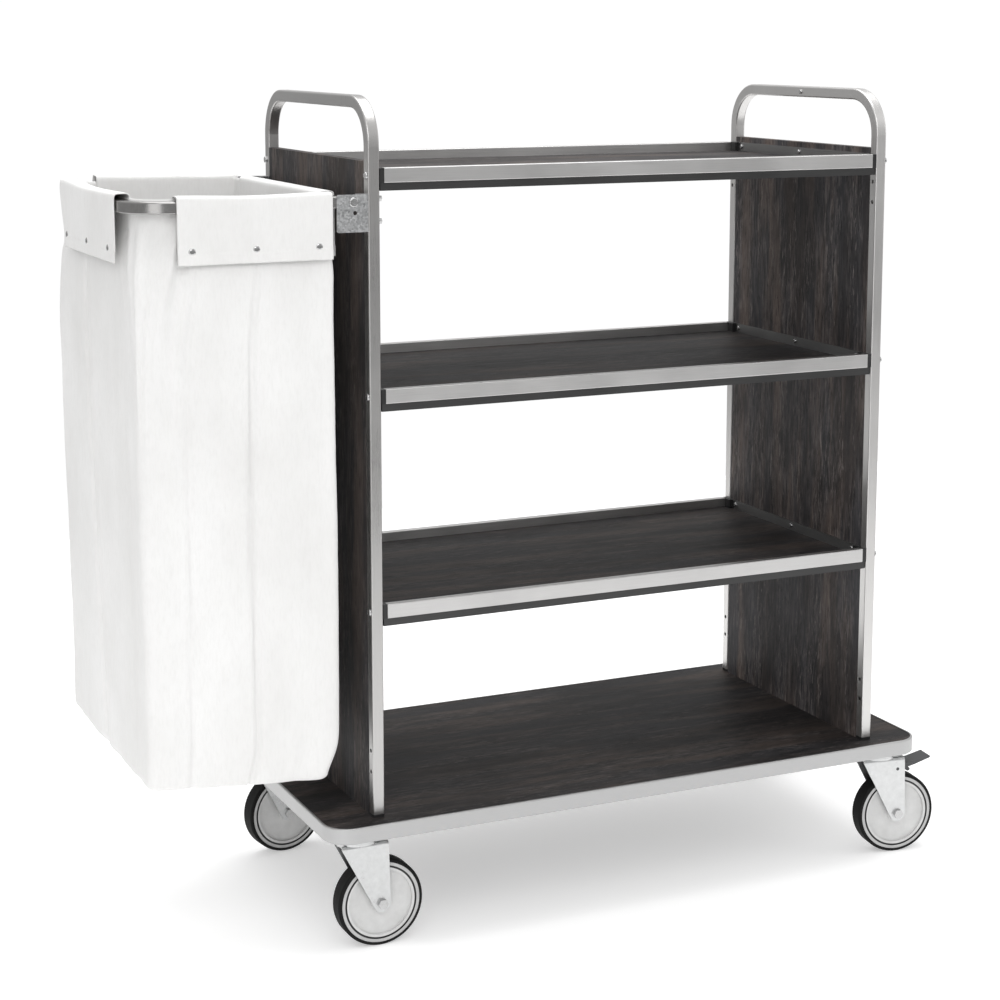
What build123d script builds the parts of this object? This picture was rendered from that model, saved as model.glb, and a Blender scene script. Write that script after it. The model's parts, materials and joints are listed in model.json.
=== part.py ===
from build123d import *
from math import cos, radians, sin
import os

# Housekeeping cart: two end frames of square tube, wood-pattern panels and shelves with steel rails,
# a base board on four swivel castors, and a folding bag holder on the left end.
# +X runs along the cart to its right end, +Y to its rear, +Z up, with the floor at Z = 0.
# The origin is under the middle of the whole object. All sizes are in millimetres.
# Lengths named x are measured from the middle of the end frames, which stands at CART_X.

# ---------------------------------------------------------------- driving dimensions

FRAME_LENGTH = 980.0  # over the outer faces of the two end frames
FRAME_DEPTH = 500.0  # over the front and rear faces of an end frame
FRAME_RISE = 1184.0  # top of a handle above the top of the base board
TUBE = 20.0  # square tube of the end frames and the bag holder
TUBE_WALL = 1.5
TUBE_CORNER = 3.0  # outer corner radius of the tube
TUBE_BEND = 70.0  # centre-line radius of the bends
PLUG_FLANGE = 5.0  # height of the plastic foot under each upright
PLUG_STEM = 25.0
TUBE_PLAY = 0.1  # gap round a plastic stem inside a tube

BASE_THICKNESS = 25.0
BASE_END_REACH = 88.0  # base beyond the end frames
BASE_SIDE_REACH = 37.0  # base beyond the front and rear of the frames
BASE_CORNER = 45.0
TRIM_THICKNESS = 4.0
TRIM_LIP = 1.0  # how far the edge trim stands above and below the board
TRIM_EDGE = 2.4  # radius of its outer edges

PANEL_THICKNESS = 18.0
PANEL_ABOVE_RAIL = 10.0  # top of a side panel above the upper rail

SHELF_NAMES = ("lower", "middle", "upper")
FIRST_RAIL = 360.0  # top of the lower rail above the base board
SHELF_PITCH = 355.5
RAIL_HEIGHT = 24.0
RAIL_DEPTH = 14.0
RAIL_WALL = 1.5
RAIL_END_GAP = 8.0  # length of the plastic corner between a rail and its upright
BOARD_DROP = 17.0  # board surface below the top of the rails
SHELF_THICKNESS = 18.0
CHANNEL_WALL = 1.5
CHANNEL_SETBACK = 2.0  # lip of the channel behind the face of the rail
CHANNEL_FLANGE = 22.0  # width of the flange under the board
END_RAIL_WALL = 2.5
END_RAIL_LEG = 20.0
END_RAIL_GAP = 1.0  # between the leg of an end rail and an edge channel

CASTOR_HEIGHT = 198.0  # floor to the underside of the base board
CASTOR_X = 514.0  # swivel axes from the middle of the cart
CASTOR_Y = 234.0
CASTOR_TRAIL = 36.0  # wheel axle behind the swivel axis
WHEEL_RADIUS = 75.0
TYRE_WIDTH = 32.0
TYRE_SHOULDER = 4.0
RIM_RADIUS = 69.0
RIM_WIDTH = 31.0
GROOVE_RADIUS = 62.0
GROOVE_WIDTH = 2.0
GROOVE_DEPTH = 2.0
DISC_RADIUS = 56.0
DISC_THICKNESS = 23.0
HUB_RADIUS = 17.0
HUB_WIDTH = 37.0
BUSH_RADIUS = 8.0
AXLE_RADIUS = 6.0
RUNNING_PLAY = 0.05  # radial play of every turning joint

BAG_REACH = 386.0  # outer end of the bag holder beyond the left end frame
BAG_HOLDER_RISE = 1018.0  # centre of the holder's tube above the base board
PIVOT_REACH = 25.0  # pivot of the holder beyond the left end frame
ARM_END_REACH = 10.0  # inner end of its arms beyond the left end frame
CROSS_TUBE_REACH = 52.0  # centre of its cross tube beyond the left end frame
BRACKET_SHEET = 2.0
BRACKET_LENGTH = 53.0
BRACKET_HEIGHT = 60.0
BRACKET_CORNER = 4.0
CLEARANCE = 0.3  # gap between parts that move past each other, and round cloth
CLOTH = 2.0
BAG_BOTTOM_RISE = 88.0  # bottom of the bag above the top of the base board
FLAP_DROP = 101.0
FLAP_STUD_DROP = 80.0
SIDE_STUD_INSET = 23.0  # outer studs from the ends of the front and rear flaps
END_STUD_INSET = 40.0  # outer studs from the ends of the other two flaps
STUD_RADIUS = 7.5
STUD_HEIGHT = 3.0
DOME = 0.6  # edge radius of a domed head, as a share of its height

ACCESSORY_HOLE_RADIUS = 3.5
ACCESSORY_HOLE_SPACING = 36.0
LOW_ACCESSORY_RISE = 95.0  # middle of the lower pair of holes above the base board
HIGH_ACCESSORY_RISE = 1004.0

# ---------------------------------------------------------------- derived places

BASE_TOP = CASTOR_HEIGHT + BASE_THICKNESS
HALF_LENGTH = FRAME_LENGTH / 2
HALF_DEPTH = FRAME_DEPTH / 2
TUBE_X = HALF_LENGTH - TUBE / 2  # centre line of the end frames
TUBE_Y = HALF_DEPTH - TUBE / 2
INNER_X = HALF_LENGTH - TUBE  # inner face of the uprights
HANDLE_Z = BASE_TOP + FRAME_RISE - TUBE / 2
RAIL_TOPS = [BASE_TOP + FIRST_RAIL + SHELF_PITCH * i for i in range(len(SHELF_NAMES))]
RAIL_X = INNER_X - RAIL_END_GAP
RAIL_BACK = HALF_DEPTH - RAIL_DEPTH
PANEL_INNER_X = TUBE_X - PANEL_THICKNESS / 2
PANEL_TOP = RAIL_TOPS[-1] + PANEL_ABOVE_RAIL
CHANNEL_DROP = BOARD_DROP + SHELF_THICKNESS + CHANNEL_WALL  # underside of a shelf below its rails
BOARD_X = PANEL_INNER_X - END_RAIL_WALL
BOARD_Y = RAIL_BACK - CHANNEL_WALL
SHELF_BOLT_DROP = RAIL_HEIGHT / 2
SHELF_BOLT_Y = HALF_DEPTH - RAIL_DEPTH / 2

PIVOT_X = -HALF_LENGTH - PIVOT_REACH
PIVOT_Z = BASE_TOP + BAG_HOLDER_RISE
ARM_Y = HALF_DEPTH - BRACKET_SHEET - CLEARANCE - TUBE / 2
HOLDER_END_X = -HALF_LENGTH - BAG_REACH + TUBE / 2
CROSS_TUBE_X = -HALF_LENGTH - CROSS_TUBE_REACH
BRACKET_TOP = PIVOT_Z + TUBE / 2 + CLEARANCE + BRACKET_SHEET
BAG_TOP = PIVOT_Z + TUBE / 2 + CLEARANCE + CLOTH
BAG_BOTTOM = BASE_TOP + BAG_BOTTOM_RISE
FLAP_OFFSET = TUBE / 2 + CLEARANCE  # tube centre to the cloth that passes it

FRONT_RIGHT_TURN = -8.0
# Castors: name, side along X, side along Y, and the angle that the fork has turned from straight.
CASTORS = (
    ("front_left", -1, -1, 0.0),
    ("front_right", 1, -1, FRONT_RIGHT_TURN),
    ("rear_left", -1, 1, 8.0),
    ("rear_right", 1, 1, 0.0),
)
BRAKED_CASTORS = ("front_right", "rear_right")

# The whole object reaches from the studs on the bag's left flap to the front right wheel.
LEFT_REACH = HALF_LENGTH + BAG_REACH + CLEARANCE + CLOTH + STUD_HEIGHT
RIGHT_REACH = (
    CASTOR_X
    + (CASTOR_TRAIL + WHEEL_RADIUS - TYRE_SHOULDER) * cos(radians(FRONT_RIGHT_TURN))
    + (TYRE_WIDTH / 2 - TYRE_SHOULDER) * abs(sin(radians(FRONT_RIGHT_TURN)))
    + TYRE_SHOULDER
)
CART_X = (LEFT_REACH - RIGHT_REACH) / 2

os.makedirs("parts", exist_ok=True)


# ---------------------------------------------------------------- shared helpers


def level(z):
    """Horizontal plane: local x along the cart, local y towards its rear."""
    return Plane(origin=(CART_X, 0, z), x_dir=(1, 0, 0), z_dir=(0, 0, 1))


def across(x):
    """Upright plane across the cart, facing its right end: local x towards the rear, local y up."""
    return Plane(origin=(CART_X + x, 0, 0), x_dir=(0, 1, 0), z_dir=(1, 0, 0))


def along(y):
    """Upright plane along the cart, facing its front: local x along the cart, local y up."""
    return Plane(origin=(CART_X, y, 0), x_dir=(1, 0, 0), z_dir=(0, -1, 0))


def block(x, y, z, mode=Mode.ADD):
    """Box between pairs of limits in the part being built."""
    with Locations((CART_X + sum(x) / 2, sum(y) / 2, sum(z) / 2)):
        Box(x[1] - x[0], y[1] - y[0], z[1] - z[0], mode=mode)


def mirror_left_right():
    """Copies the part being built to the other end of the cart."""
    mirror(about=across(0))


def mirror_front_rear():
    """Copies the part being built to the other side of the cart."""
    mirror(about=along(0))


def save(piece, label):
    piece.label = label
    export_step(piece, f"parts/{label}.step")


# ---------------------------------------------------------------- base

CASTOR_BOLT_RADIUS = 4.0
CASTOR_BOLT_DEPTH = 18.0  # castor bolts into the board
CASTOR_BOLT_SPACING = (80.0, 58.0)
FOOT_BOLT_RADIUS = 4.0
FOOT_BOLT_PLAY = 0.2
FOOT_HEAD_RADIUS = 6.5
FOOT_RECESS = 6.0
FOOT_RECESS_RADIUS = 8.5
FOOT_HEAD_SET_IN = 1.0  # head of a foot bolt above the underside of the board
FOOT_BOLT_INTO_PLUG = 25.0

CASTOR_POINTS = [(i * CASTOR_X, j * CASTOR_Y) for _, i, j, _ in CASTORS]
FOOT_POINTS = [(i * TUBE_X, j * TUBE_Y) for i in (-1, 1) for j in (-1, 1)]
CASTOR_BOLT_POINTS = [
    (x + i * CASTOR_BOLT_SPACING[0] / 2, y + j * CASTOR_BOLT_SPACING[1] / 2)
    for x, y in CASTOR_POINTS
    for i in (-1, 1)
    for j in (-1, 1)
]
BASE_SIZE = (FRAME_LENGTH + 2 * BASE_END_REACH, FRAME_DEPTH + 2 * BASE_SIDE_REACH)
BOARD_SIZE = (BASE_SIZE[0] - 2 * TRIM_THICKNESS, BASE_SIZE[1] - 2 * TRIM_THICKNESS)

with BuildPart() as base_board:
    with BuildSketch(level(CASTOR_HEIGHT)):
        RectangleRounded(*BOARD_SIZE, BASE_CORNER - TRIM_THICKNESS)
    extrude(amount=BASE_THICKNESS)
    with BuildSketch(level(CASTOR_HEIGHT)):
        with Locations(*CASTOR_BOLT_POINTS):
            Circle(CASTOR_BOLT_RADIUS)
    extrude(amount=CASTOR_BOLT_DEPTH, mode=Mode.SUBTRACT)
    with BuildSketch(level(CASTOR_HEIGHT)):
        with Locations(*FOOT_POINTS):
            Circle(FOOT_BOLT_RADIUS + FOOT_BOLT_PLAY)
    extrude(amount=BASE_THICKNESS, mode=Mode.SUBTRACT)
    with BuildSketch(level(CASTOR_HEIGHT)):
        with Locations(*FOOT_POINTS):
            Circle(FOOT_RECESS_RADIUS)
    extrude(amount=FOOT_RECESS, mode=Mode.SUBTRACT)
save(base_board.part, "base_board")

with BuildPart() as base_edge_trim:
    with BuildSketch(level(CASTOR_HEIGHT - TRIM_LIP)):
        RectangleRounded(*BASE_SIZE, BASE_CORNER)
    extrude(amount=BASE_THICKNESS + 2 * TRIM_LIP)
    outer_edges = base_edge_trim.faces().group_by(Axis.Z)[0].edges()
    outer_edges += base_edge_trim.faces().group_by(Axis.Z)[-1].edges()
    fillet(outer_edges, TRIM_EDGE)
    with BuildSketch(level(CASTOR_HEIGHT - TRIM_LIP)):
        RectangleRounded(*BOARD_SIZE, BASE_CORNER - TRIM_THICKNESS)
    extrude(amount=BASE_THICKNESS + 2 * TRIM_LIP, mode=Mode.SUBTRACT)
save(base_edge_trim.part, "base_edge_trim")

# ---------------------------------------------------------------- end frames and side panels

SHELF_BOLT_RADIUS = 3.0
SHELF_BOLT_PLAY = 0.2
HANDLE_SCREW_RADIUS = 2.5
FRAME_FOOT = BASE_TOP + PLUG_FLANGE


def end_frame(side):
    """Inverted U of square tube: two uprights with the handle bar across their tops."""
    with BuildPart() as frame:
        with BuildLine(across(side * TUBE_X)):
            FilletPolyline(
                (-TUBE_Y, FRAME_FOOT),
                (-TUBE_Y, HANDLE_Z),
                (TUBE_Y, HANDLE_Z),
                (TUBE_Y, FRAME_FOOT),
                radius=TUBE_BEND,
            )
        with BuildSketch(level(FRAME_FOOT)):
            with Locations((side * TUBE_X, -TUBE_Y)):
                RectangleRounded(TUBE, TUBE, TUBE_CORNER)
                RectangleRounded(
                    TUBE - 2 * TUBE_WALL,
                    TUBE - 2 * TUBE_WALL,
                    TUBE_CORNER - TUBE_WALL,
                    mode=Mode.SUBTRACT,
                )
        sweep()
        with BuildSketch(across(side * TUBE_X)):
            for top in RAIL_TOPS:
                with Locations((-SHELF_BOLT_Y, top - SHELF_BOLT_DROP), (SHELF_BOLT_Y, top - SHELF_BOLT_DROP)):
                    Circle(SHELF_BOLT_RADIUS + SHELF_BOLT_PLAY)
            for rise in (LOW_ACCESSORY_RISE, HIGH_ACCESSORY_RISE):
                with Locations((0, BASE_TOP + rise)):
                    with GridLocations(2 * TUBE_Y, ACCESSORY_HOLE_SPACING, 2, 2):
                        Circle(ACCESSORY_HOLE_RADIUS)
        extrude(amount=TUBE, both=True, mode=Mode.SUBTRACT)
        with BuildSketch(across(side * TUBE_X)):
            with Locations((0, HANDLE_Z)):
                Circle(HANDLE_SCREW_RADIUS)
        extrude(amount=-side * TUBE, mode=Mode.SUBTRACT)
    return frame.part


save(end_frame(-1), "left_end_frame")
save(end_frame(1), "right_end_frame")

plug_width = TUBE - 2 * (TUBE_WALL + TUBE_PLAY)

with BuildPart() as frame_foot_plugs:
    with BuildSketch(level(BASE_TOP)):
        with Locations(*FOOT_POINTS):
            RectangleRounded(TUBE, TUBE, TUBE_CORNER)
    extrude(amount=PLUG_FLANGE)
    with BuildSketch(level(FRAME_FOOT)):
        with Locations(*FOOT_POINTS):
            RectangleRounded(plug_width, plug_width, TUBE_CORNER - TUBE_WALL)
    extrude(amount=PLUG_STEM)
    with BuildSketch(level(BASE_TOP)):
        with Locations(*FOOT_POINTS):
            Circle(FOOT_BOLT_RADIUS)
    extrude(amount=PLUG_FLANGE + PLUG_STEM, mode=Mode.SUBTRACT)
save(frame_foot_plugs.part, "frame_foot_plugs")

with BuildPart() as frame_foot_bolts:
    with BuildSketch(level(CASTOR_HEIGHT + FOOT_HEAD_SET_IN)):
        with Locations(*FOOT_POINTS):
            RegularPolygon(FOOT_HEAD_RADIUS, 6)
    extrude(amount=FOOT_RECESS - FOOT_HEAD_SET_IN)
    with BuildSketch(level(CASTOR_HEIGHT + FOOT_RECESS)):
        with Locations(*FOOT_POINTS):
            Circle(FOOT_BOLT_RADIUS)
    extrude(amount=BASE_THICKNESS - FOOT_RECESS + FOOT_BOLT_INTO_PLUG)
save(frame_foot_bolts.part, "frame_foot_bolts")

END_SCREW_RADIUS = 2.0
END_SCREW_DROP = 8.0  # screws below the top of an end rail
END_SCREW_Y = 205.0
END_SCREW_INTO_PANEL = 10.0
END_SCREW_POINTS = [(j * END_SCREW_Y, top - END_SCREW_DROP) for j in (-1, 0, 1) for top in RAIL_TOPS]


def side_panel(side):
    """Wood-pattern panel that fills an end frame from the base board to just above the upper rails."""
    with BuildPart() as panel:
        faces = sorted((side * PANEL_INNER_X, side * (PANEL_INNER_X + PANEL_THICKNESS)))
        block(faces, (-HALF_DEPTH + TUBE, HALF_DEPTH - TUBE), (BASE_TOP, PANEL_TOP))
        with BuildSketch(across(side * PANEL_INNER_X)):
            with Locations(*END_SCREW_POINTS):
                Circle(END_SCREW_RADIUS)
        extrude(amount=side * END_SCREW_INTO_PANEL, mode=Mode.SUBTRACT)
    return panel.part


save(side_panel(-1), "left_side_panel")
save(side_panel(1), "right_side_panel")

SCREW_HEAD_RADIUS = 4.0
SCREW_HEAD_HEIGHT = 2.4

with BuildPart() as handle_screws:
    with BuildSketch(across(INNER_X - SCREW_HEAD_HEIGHT)):
        with Locations((0, HANDLE_Z)):
            Circle(SCREW_HEAD_RADIUS)
    extrude(amount=SCREW_HEAD_HEIGHT)
    fillet(handle_screws.edges().group_by(Axis.X)[0], SCREW_HEAD_HEIGHT * DOME)
    with BuildSketch(across(INNER_X)):
        with Locations((0, HANDLE_Z)):
            Circle(HANDLE_SCREW_RADIUS)
    extrude(amount=TUBE / 2)
    mirror_left_right()
save(handle_screws.part, "handle_screws")

# ---------------------------------------------------------------- shelves


def shelf_board(top):
    with BuildPart() as board:
        surface = top - BOARD_DROP
        block((-BOARD_X, BOARD_X), (-BOARD_Y, BOARD_Y), (surface - SHELF_THICKNESS, surface))
    return board.part


def long_rail(side, top):
    """Hollow rail along the front or the rear of a shelf."""
    with BuildPart() as rail:
        with BuildSketch(across(0)):
            with Locations((side * SHELF_BOLT_Y, top - RAIL_HEIGHT / 2)):
                RectangleRounded(RAIL_DEPTH, RAIL_HEIGHT, RAIL_WALL)
                Rectangle(RAIL_DEPTH - 2 * RAIL_WALL, RAIL_HEIGHT - 2 * RAIL_WALL, mode=Mode.SUBTRACT)
        extrude(amount=RAIL_X, both=True)
    return rail.part


def edge_channels(top):
    """Folded channels under the front and rear rails, which hold the long edges of the board."""
    underside = top - CHANNEL_DROP
    lip_face = -HALF_DEPTH + CHANNEL_SETBACK
    half_length = BOARD_X - TUBE_PLAY
    with BuildPart() as channels:
        block(
            (-half_length, half_length),
            (lip_face, -BOARD_Y + CHANNEL_FLANGE),
            (underside, underside + CHANNEL_WALL),
        )
        block(
            (-half_length, half_length),
            (lip_face, lip_face + CHANNEL_WALL),
            (underside, top - RAIL_HEIGHT),
        )
        block(
            (-half_length, half_length),
            (-RAIL_BACK, -BOARD_Y),
            (underside, top - BOARD_DROP),
        )
        mirror_front_rear()
    return channels.part


def end_rails(top):
    """Angles screwed to the side panels, which carry and frame the short edges of the board."""
    underside = top - CHANNEL_DROP
    leg_half = BOARD_Y - CHANNEL_FLANGE - END_RAIL_GAP
    with BuildPart() as rails:
        block(
            (BOARD_X, PANEL_INNER_X),
            (-HALF_DEPTH + TUBE, HALF_DEPTH - TUBE),
            (underside, top),
        )
        block(
            (BOARD_X - END_RAIL_LEG, BOARD_X),
            (-leg_half, leg_half),
            (underside, underside + CHANNEL_WALL),
        )
        with BuildSketch(across(BOARD_X)):
            with Locations(*[(j * END_SCREW_Y, top - END_SCREW_DROP) for j in (-1, 0, 1)]):
                Circle(END_SCREW_RADIUS)
        extrude(amount=END_RAIL_WALL, mode=Mode.SUBTRACT)
        mirror_left_right()
    return rails.part


for shelf_name, rail_top in zip(SHELF_NAMES, RAIL_TOPS):
    save(shelf_board(rail_top), f"{shelf_name}_shelf_board")
    save(long_rail(-1, rail_top), f"{shelf_name}_front_rail")
    save(long_rail(1, rail_top), f"{shelf_name}_rear_rail")
    save(edge_channels(rail_top), f"{shelf_name}_edge_channels")
    save(end_rails(rail_top), f"{shelf_name}_end_rails")

CORNER_SETBACK = 0.5  # plastic corners behind the face and below the top of the rails
CORNER_STEM = 20.0  # length of a corner's stem inside its rail
CORNER_INNER_REACH = 18.0  # how far a corner runs behind the rail
SHELF_BOLT_COVER = 3.0  # plastic left beyond the tip of a shelf bolt
SHELF_BOLT_TIP_X = RAIL_X - CORNER_STEM + SHELF_BOLT_COVER
SHELF_BOLT_HEAD_RADIUS = 6.0
SHELF_BOLT_HEAD_HEIGHT = 3.5
SHELF_BOLT_POINTS = [(-SHELF_BOLT_Y, top - SHELF_BOLT_DROP) for top in RAIL_TOPS]

stem_play = RAIL_WALL + TUBE_PLAY

with BuildPart() as shelf_corner_blocks:
    for rail_top in RAIL_TOPS:
        block(
            (RAIL_X, INNER_X),
            (-HALF_DEPTH + CORNER_SETBACK, -RAIL_BACK),
            (rail_top - RAIL_HEIGHT, rail_top - CORNER_SETBACK),
        )
        block(
            (RAIL_X, BOARD_X - TUBE_PLAY),
            (-RAIL_BACK, -RAIL_BACK + CORNER_INNER_REACH),
            (rail_top - BOARD_DROP, rail_top - CORNER_SETBACK),
        )
        block(
            (RAIL_X - CORNER_STEM, RAIL_X),
            (-HALF_DEPTH + stem_play, -RAIL_BACK - stem_play),
            (rail_top - RAIL_HEIGHT + stem_play, rail_top - stem_play),
        )
    with BuildSketch(across(SHELF_BOLT_TIP_X)):
        with Locations(*SHELF_BOLT_POINTS):
            Circle(SHELF_BOLT_RADIUS)
    extrude(amount=INNER_X - SHELF_BOLT_TIP_X, mode=Mode.SUBTRACT)
    mirror_left_right()
    mirror_front_rear()
save(shelf_corner_blocks.part, "shelf_corner_blocks")

with BuildPart() as shelf_bolts:
    with BuildSketch(across(HALF_LENGTH)):
        with Locations(*SHELF_BOLT_POINTS):
            Circle(SHELF_BOLT_HEAD_RADIUS)
    extrude(amount=SHELF_BOLT_HEAD_HEIGHT)
    fillet(shelf_bolts.edges().group_by(Axis.X)[-1], SHELF_BOLT_HEAD_HEIGHT * DOME)
    with BuildSketch(across(SHELF_BOLT_TIP_X)):
        with Locations(*SHELF_BOLT_POINTS):
            Circle(SHELF_BOLT_RADIUS)
    extrude(amount=HALF_LENGTH - SHELF_BOLT_TIP_X)
    mirror_left_right()
    mirror_front_rear()
save(shelf_bolts.part, "shelf_bolts")

with BuildPart() as end_rail_screws:
    with BuildSketch(across(BOARD_X - SCREW_HEAD_HEIGHT)):
        with Locations(*END_SCREW_POINTS):
            Circle(SCREW_HEAD_RADIUS)
    extrude(amount=SCREW_HEAD_HEIGHT)
    fillet(end_rail_screws.edges().group_by(Axis.X)[0], SCREW_HEAD_HEIGHT * DOME)
    with BuildSketch(across(BOARD_X)):
        with Locations(*END_SCREW_POINTS):
            Circle(END_SCREW_RADIUS)
    extrude(amount=END_RAIL_WALL + END_SCREW_INTO_PANEL)
    mirror_left_right()
save(end_rail_screws.part, "end_rail_screws")

# ---------------------------------------------------------------- bag holder

PIVOT_RADIUS = 4.0
PIVOT_HEAD_RADIUS = 8.0
PIVOT_HEAD_HEIGHT = 4.0
PIVOT_NUT_RADIUS = 7.0
NUT_HEIGHT = 6.0
SPARE_HOLE_RADIUS = 3.5
SPARE_HOLE_OFFSET = (3.0, -17.0)  # from the pivot
BRACKET_BOLT_RADIUS = 3.0
BRACKET_BOLT_HEAD_RADIUS = 5.0
BRACKET_BOLT_HEAD_HEIGHT = 3.5
BRACKET_BOLT_POINTS = [
    (-TUBE_Y, BASE_TOP + HIGH_ACCESSORY_RISE + j * ACCESSORY_HOLE_SPACING / 2) for j in (-1, 1)
]

with BuildPart() as bag_holder_tube:
    with BuildLine(level(PIVOT_Z)):
        FilletPolyline(
            (-HALF_LENGTH - ARM_END_REACH, -ARM_Y),
            (HOLDER_END_X, -ARM_Y),
            (HOLDER_END_X, ARM_Y),
            (-HALF_LENGTH - ARM_END_REACH, ARM_Y),
            radius=TUBE_BEND,
        )
    with BuildSketch(across(-HALF_LENGTH - ARM_END_REACH)):
        with Locations((-ARM_Y, PIVOT_Z)):
            RectangleRounded(TUBE, TUBE, TUBE_CORNER)
            RectangleRounded(
                TUBE - 2 * TUBE_WALL,
                TUBE - 2 * TUBE_WALL,
                TUBE_CORNER - TUBE_WALL,
                mode=Mode.SUBTRACT,
            )
    sweep()
    with BuildSketch(along(0)):
        with Locations((PIVOT_X, PIVOT_Z)):
            Circle(PIVOT_RADIUS + RUNNING_PLAY)
    extrude(amount=FRAME_DEPTH, both=True, mode=Mode.SUBTRACT)
save(bag_holder_tube.part, "bag_holder_tube")

with BuildPart() as bag_cross_tube:
    with BuildSketch(along(0)):
        with Locations((CROSS_TUBE_X, PIVOT_Z)):
            RectangleRounded(TUBE, TUBE, TUBE_CORNER)
            RectangleRounded(
                TUBE - 2 * TUBE_WALL,
                TUBE - 2 * TUBE_WALL,
                TUBE_CORNER - TUBE_WALL,
                mode=Mode.SUBTRACT,
            )
    extrude(amount=ARM_Y - TUBE / 2, both=True)
save(bag_cross_tube.part, "bag_cross_tube")

with BuildPart() as bag_brackets:
    bracket_bottom = BRACKET_TOP - BRACKET_HEIGHT
    block(
        (-HALF_LENGTH - BRACKET_LENGTH, -HALF_LENGTH),
        (-HALF_DEPTH, -HALF_DEPTH + BRACKET_SHEET),
        (bracket_bottom, BRACKET_TOP),
    )
    fillet(bag_brackets.edges().filter_by(Axis.Y).group_by(Axis.X)[0], BRACKET_CORNER)
    block(
        (-HALF_LENGTH - BRACKET_SHEET, -HALF_LENGTH),
        (-HALF_DEPTH, -HALF_DEPTH + TUBE),
        (bracket_bottom, BRACKET_TOP),
    )
    # The tab stops the inner end of an arm from rising, and lets the arm stand upright beside it.
    block(
        (PIVOT_X + TUBE / 2 + CLEARANCE, -HALF_LENGTH),
        (-HALF_DEPTH, -HALF_DEPTH + TUBE),
        (BRACKET_TOP - BRACKET_SHEET, BRACKET_TOP),
    )
    with BuildSketch(along(-HALF_DEPTH)):
        with Locations((PIVOT_X, PIVOT_Z)):
            Circle(PIVOT_RADIUS)
        with Locations((PIVOT_X + SPARE_HOLE_OFFSET[0], PIVOT_Z + SPARE_HOLE_OFFSET[1])):
            Circle(SPARE_HOLE_RADIUS)
    extrude(amount=-BRACKET_SHEET, mode=Mode.SUBTRACT)
    with BuildSketch(across(-HALF_LENGTH)):
        with Locations(*BRACKET_BOLT_POINTS):
            Circle(BRACKET_BOLT_RADIUS)
    extrude(amount=-BRACKET_SHEET, mode=Mode.SUBTRACT)
    mirror_front_rear()
save(bag_brackets.part, "bag_brackets")

with BuildPart() as bag_bracket_bolts:
    with BuildSketch(across(-HALF_LENGTH - BRACKET_SHEET - BRACKET_BOLT_HEAD_HEIGHT)):
        with Locations(*BRACKET_BOLT_POINTS):
            Circle(BRACKET_BOLT_HEAD_RADIUS)
    extrude(amount=BRACKET_BOLT_HEAD_HEIGHT)
    fillet(bag_bracket_bolts.edges().group_by(Axis.X)[0], BRACKET_BOLT_HEAD_HEIGHT * DOME)
    with BuildSketch(across(-HALF_LENGTH - BRACKET_SHEET)):
        with Locations(*BRACKET_BOLT_POINTS):
            Circle(BRACKET_BOLT_RADIUS)
    extrude(amount=BRACKET_SHEET + TUBE + NUT_HEIGHT)
    mirror_front_rear()
save(bag_bracket_bolts.part, "bag_bracket_bolts")

ARM_INNER_FACE = ARM_Y - TUBE / 2
PIVOT_LENGTH = HALF_DEPTH - ARM_INNER_FACE + CLEARANCE + NUT_HEIGHT

with BuildPart() as bag_pivot_bolts:
    with BuildSketch(along(-HALF_DEPTH)):
        with Locations((PIVOT_X, PIVOT_Z)):
            Circle(PIVOT_HEAD_RADIUS)
    extrude(amount=PIVOT_HEAD_HEIGHT)
    fillet(bag_pivot_bolts.edges().group_by(Axis.Y)[0], PIVOT_HEAD_HEIGHT * DOME)
    with BuildSketch(along(-HALF_DEPTH)):
        with Locations((PIVOT_X, PIVOT_Z)):
            Circle(PIVOT_RADIUS)
    extrude(amount=-PIVOT_LENGTH)
    mirror_front_rear()
save(bag_pivot_bolts.part, "bag_pivot_bolts")

with BuildPart() as bag_holder_nuts:
    with BuildSketch(across(-INNER_X)):
        with Locations(*BRACKET_BOLT_POINTS):
            RegularPolygon(BRACKET_BOLT_HEAD_RADIUS, 6)
            Circle(BRACKET_BOLT_RADIUS, mode=Mode.SUBTRACT)
    extrude(amount=NUT_HEIGHT)
    with BuildSketch(along(-ARM_INNER_FACE + CLEARANCE)):
        with Locations((PIVOT_X, PIVOT_Z)):
            RegularPolygon(PIVOT_NUT_RADIUS, 6)
            Circle(PIVOT_RADIUS, mode=Mode.SUBTRACT)
    extrude(amount=-NUT_HEIGHT)
    mirror_front_rear()
save(bag_holder_nuts.part, "bag_holder_nuts")

# ---------------------------------------------------------------- laundry bag

BAG_LEFT_X = HOLDER_END_X + FLAP_OFFSET
BAG_RIGHT_X = CROSS_TUBE_X - FLAP_OFFSET
BAG_Y = ARM_Y - FLAP_OFFSET
BAG_LEFT_CORNER = TUBE_BEND - FLAP_OFFSET
BAG_RIGHT_CORNER = 12.0
BAG_BOTTOM_CORNER = 25.0
BAG_FLOOR = BAG_BOTTOM + CLOTH
FRONT_FLAP_REACH = (60.0, 313.0)  # front and rear flaps, beyond the left end frame
FRONT_FLAP_X = (-HALF_LENGTH - FRONT_FLAP_REACH[1], -HALF_LENGTH - FRONT_FLAP_REACH[0])
END_FLAP_Y = 170.0  # half the length of the flap over the holder's outer end
CART_FLAP_Y = 200.0  # half the length of the flap over the cross tube


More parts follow.
